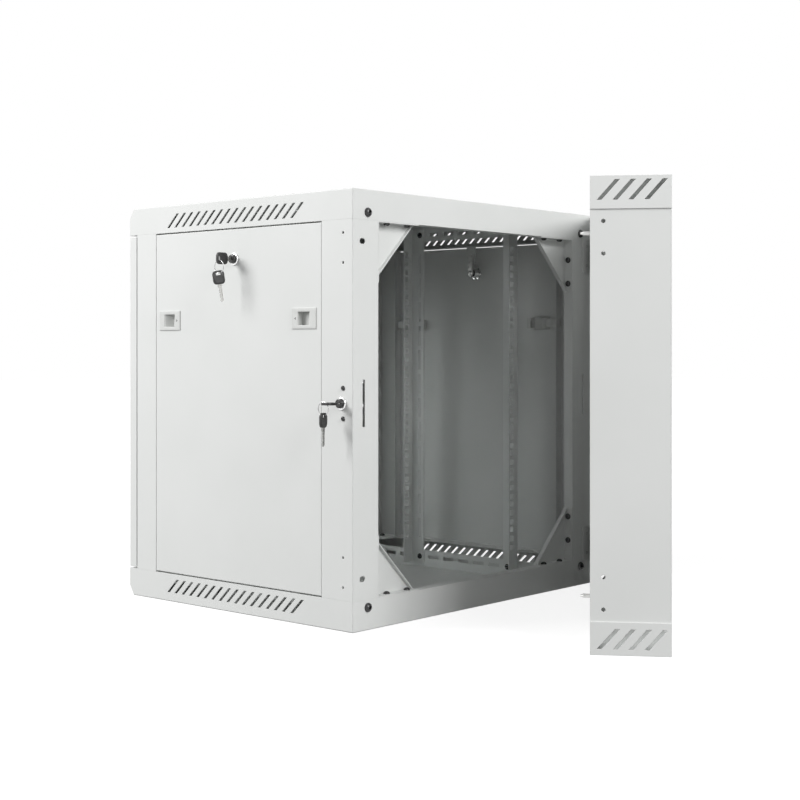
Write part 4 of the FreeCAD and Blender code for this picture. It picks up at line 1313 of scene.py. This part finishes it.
def build_leaf_screws(side, body, outer, direction, place):
    """Countersunk heads, each with its cross recess suggested by a small square hole."""
    radius = leaf_screw_radius
    rings = [
        (-1.2 * mm, radius * 0.6),
        (0, radius),
        (0.04 * mm, radius * 0.92),
        (0.05 * mm, radius * 0.45),
        (-0.6 * mm, radius * 0.3, 4),
    ]
    mesh = bmesh.new()
    for low, high in hinge_spans:
        for share in leaf_screw_shares:
            seat = place @ Vector((leaf_screw_column, outer, low + share * (high - low)))
            turn_shape(mesh, seat, place.to_3x3() @ direction, rings, sides=32)
    make_piece(mesh, side + "_leaf_screws", body, "zinc_steel")


build_pins()
build_leaf_screws("main", "main_body", rear_face + leaf_thickness, Y, still)
build_leaf_screws("section", "wall_section", section_leaf, -Y, swung)

# %% [markdown]
# ## Small screws
#
# The cover plates of the cable entries and the depth channels are held by small pan screws. They sit
# on the faces that show when the cabinet is open, so leaving them out would make those plates look
# glued on.

# %% Cover and channel screws
cover_screw_inset = 6 * mm
channel_screw_inset = 38 * mm
channel_screw_column = 9 * mm
channel_sheet = 1.5 * mm


def build_cover_screws():
    mesh = bmesh.new()
    for low, high in solid_boxes("cable_entry_covers"):
        inward = Z if high.z < middle_z else -Z
        level = far_face(low, high, inward)[0].z
        for x in (low.x + cover_screw_inset, high.x - cover_screw_inset):
            for y in (low.y + cover_screw_inset, high.y - cover_screw_inset):
                button_head(mesh, Vector((x, y, level)), inward, pan_radius, pan_height)
    make_piece(mesh, "cover_screw_set", "main_body", "zinc_steel")


def build_channel_screws():
    mesh = bmesh.new()
    for low, high, inward, upward in corner_boxes("depth_channel_"):
        face = low.z + channel_sheet if upward > 0 else high.z - channel_sheet
        column = low.x + channel_screw_column if inward > 0 else high.x - channel_screw_column
        for y in (low.y + channel_screw_inset, high.y - channel_screw_inset):
            button_head(mesh, Vector((column, y, face)), Z * upward, 4.5 * mm, 3 * mm)
    make_piece(mesh, "channel_screw_set", "main_body", "zinc_steel")


build_cover_screws()
build_channel_screws()

# %% [markdown]
# ## Light and backdrop
#
# The look wanted is that of a catalogue: even soft light, and nothing behind the cabinet. The world
# gives dim white light from all round. Only camera, mirror and glass rays see it as full white, through
# the Light Path node, so a white background adds no light to the cabinet.

# %% World
fill_level = 0.26
white = (1, 1, 1, 1)


def seen_directly(tree):
    """1 for camera, mirror and glass rays, and 0 for the rays that light a surface.

    A ray that lights a surface through the glass door has bounced off that surface first, so the
    last step gives 0 to every ray with a diffuse bounce behind it.
    """
    path = add_node(tree, "ShaderNodeLightPath")
    first = add_node(tree, "ShaderNodeMath", operation="MAXIMUM")
    second = add_node(tree, "ShaderNodeMath", operation="MAXIMUM")
    direct = add_node(tree, "ShaderNodeMath", operation="SUBTRACT", use_clamp=True)
    wire(path, "Is Camera Ray", first, 0)
    wire(path, "Is Glossy Ray", first, 1)
    wire(first, 0, second, 0)
    wire(path, "Is Transmission Ray", second, 1)
    wire(second, 0, direct, 0)
    wire(path, "Diffuse Depth", direct, 1)
    return direct


def make_world():
    world = bpy.data.worlds.new("studio")
    bpy.context.scene.world = world
    world.use_nodes = True
    tree = world.node_tree
    tree.nodes.clear()
    output = add_node(tree, "ShaderNodeOutputWorld")
    fill = add_node(tree, "ShaderNodeBackground", {"Color": white, "Strength": fill_level})
    backdrop = add_node(tree, "ShaderNodeBackground", {"Color": white, "Strength": 1.0})
    mix = add_node(tree, "ShaderNodeMixShader")
    wire(seen_directly(tree), "Value", mix, "Fac")
    wire(fill, 0, mix, 1)
    wire(backdrop, 0, mix, 2)
    wire(mix, 0, output, "Surface")
    return world


print("world:", make_world().name)

# %% [markdown]
# The floor is pale and takes the cabinet's shadow. Its own glow is only for the rays that the camera
# sees, so that the floor runs into the white behind it without a line.

# %% Floor
floor_tone = 0.24
floor_reach = 14.0
floor_drop = 0.3 * mm
glow_near = 0.86
fade_from, fade_to = 0.7, 3.0


def floor_finish():
    finish = bpy.data.materials.new("studio_floor")
    finish.use_nodes = True
    tree = finish.node_tree
    tree.nodes.clear()
    output = add_node(tree, "ShaderNodeOutputMaterial")
    matt = add_node(tree, "ShaderNodeBsdfDiffuse", {"Color": (floor_tone, floor_tone, floor_tone, 1)})
    glow = add_node(tree, "ShaderNodeEmission", {"Color": white})
    place = add_node(tree, "ShaderNodeTexCoord")
    away = add_node(tree, "ShaderNodeVectorMath", operation="LENGTH")
    limits = {"From Min": fade_from, "From Max": fade_to, "To Min": glow_near, "To Max": 1.0}
    fade = add_node(tree, "ShaderNodeMapRange", limits)
    level = add_node(tree, "ShaderNodeMath", operation="MULTIPLY")
    both = add_node(tree, "ShaderNodeAddShader")
    wire(place, "Object", away, "Vector")
    wire(away, "Value", fade, "Value")
    wire(fade, "Result", level, 1)
    wire(seen_directly(tree), "Value", level, 0)
    wire(level, "Value", glow, "Strength")
    wire(matt, 0, both, 0)
    wire(glow, 0, both, 1)
    wire(both, 0, output, "Surface")
    return finish


def make_floor():
    mesh = bmesh.new()
    level = cad_box[0].z - floor_drop
    corners = [(-1, -1), (1, -1), (1, 1), (-1, 1)]
    mesh.faces.new([mesh.verts.new((floor_reach * a, floor_reach * b, level)) for a, b in corners])
    data = bpy.data.meshes.new("studio_floor")
    mesh.to_mesh(data)
    mesh.free()
    floor = add_object("studio_floor", data)
    data.materials.append(floor_finish())
    return floor


print("floor at z =", round(make_floor().data.vertices[0].co.z, 4))

# %% [markdown]
# Two large soft lamps give direction. The left one lights the side panel and the right one the rear
# face. Both stay low, because a high lamp would turn the cabinet's roof plain white in views from above.

# %% Lamps
aim_point = Vector((middle_x, rear_face - 0.1, middle_z))
lamp_distance = 4.5

# Each lamp's turn round the cabinet from +X and its height in degrees, its size in metres, its watts.
lamps = {
    "left_lamp": (-40, 29, 2.0, 187.0),
    "right_lamp": (80, 28, 2.3, 154.0),
}


def lamp_place(turn, height):
    turn, height = math.radians(turn), math.radians(height)
    flat = math.cos(height)
    way = Vector((flat * math.cos(turn), flat * math.sin(turn), math.sin(height)))
    return aim_point + lamp_distance * way


def add_lamp(name, turn, height, size, power):
    """A square soft lamp that points at the cabinet."""
    light = bpy.data.lights.new(name, "AREA")
    light.shape = "SQUARE"
    light.size = size
    light.energy = power
    lamp = add_object(name, light)
    lamp.location = lamp_place(turn, height)
    lamp.rotation_euler = (aim_point - lamp.location).to_track_quat("-Z", "Y").to_euler()
    print(name, "at", [round(value, 2) for value in lamp.location])


for name, setting in lamps.items():
    add_lamp(name, *setting)

# %% [markdown]
# ## Finish
#
# The view settings stay plain, so that a colour renders about as it is written.

# %% Finish
bpy.context.scene.view_settings.view_transform = "Standard"
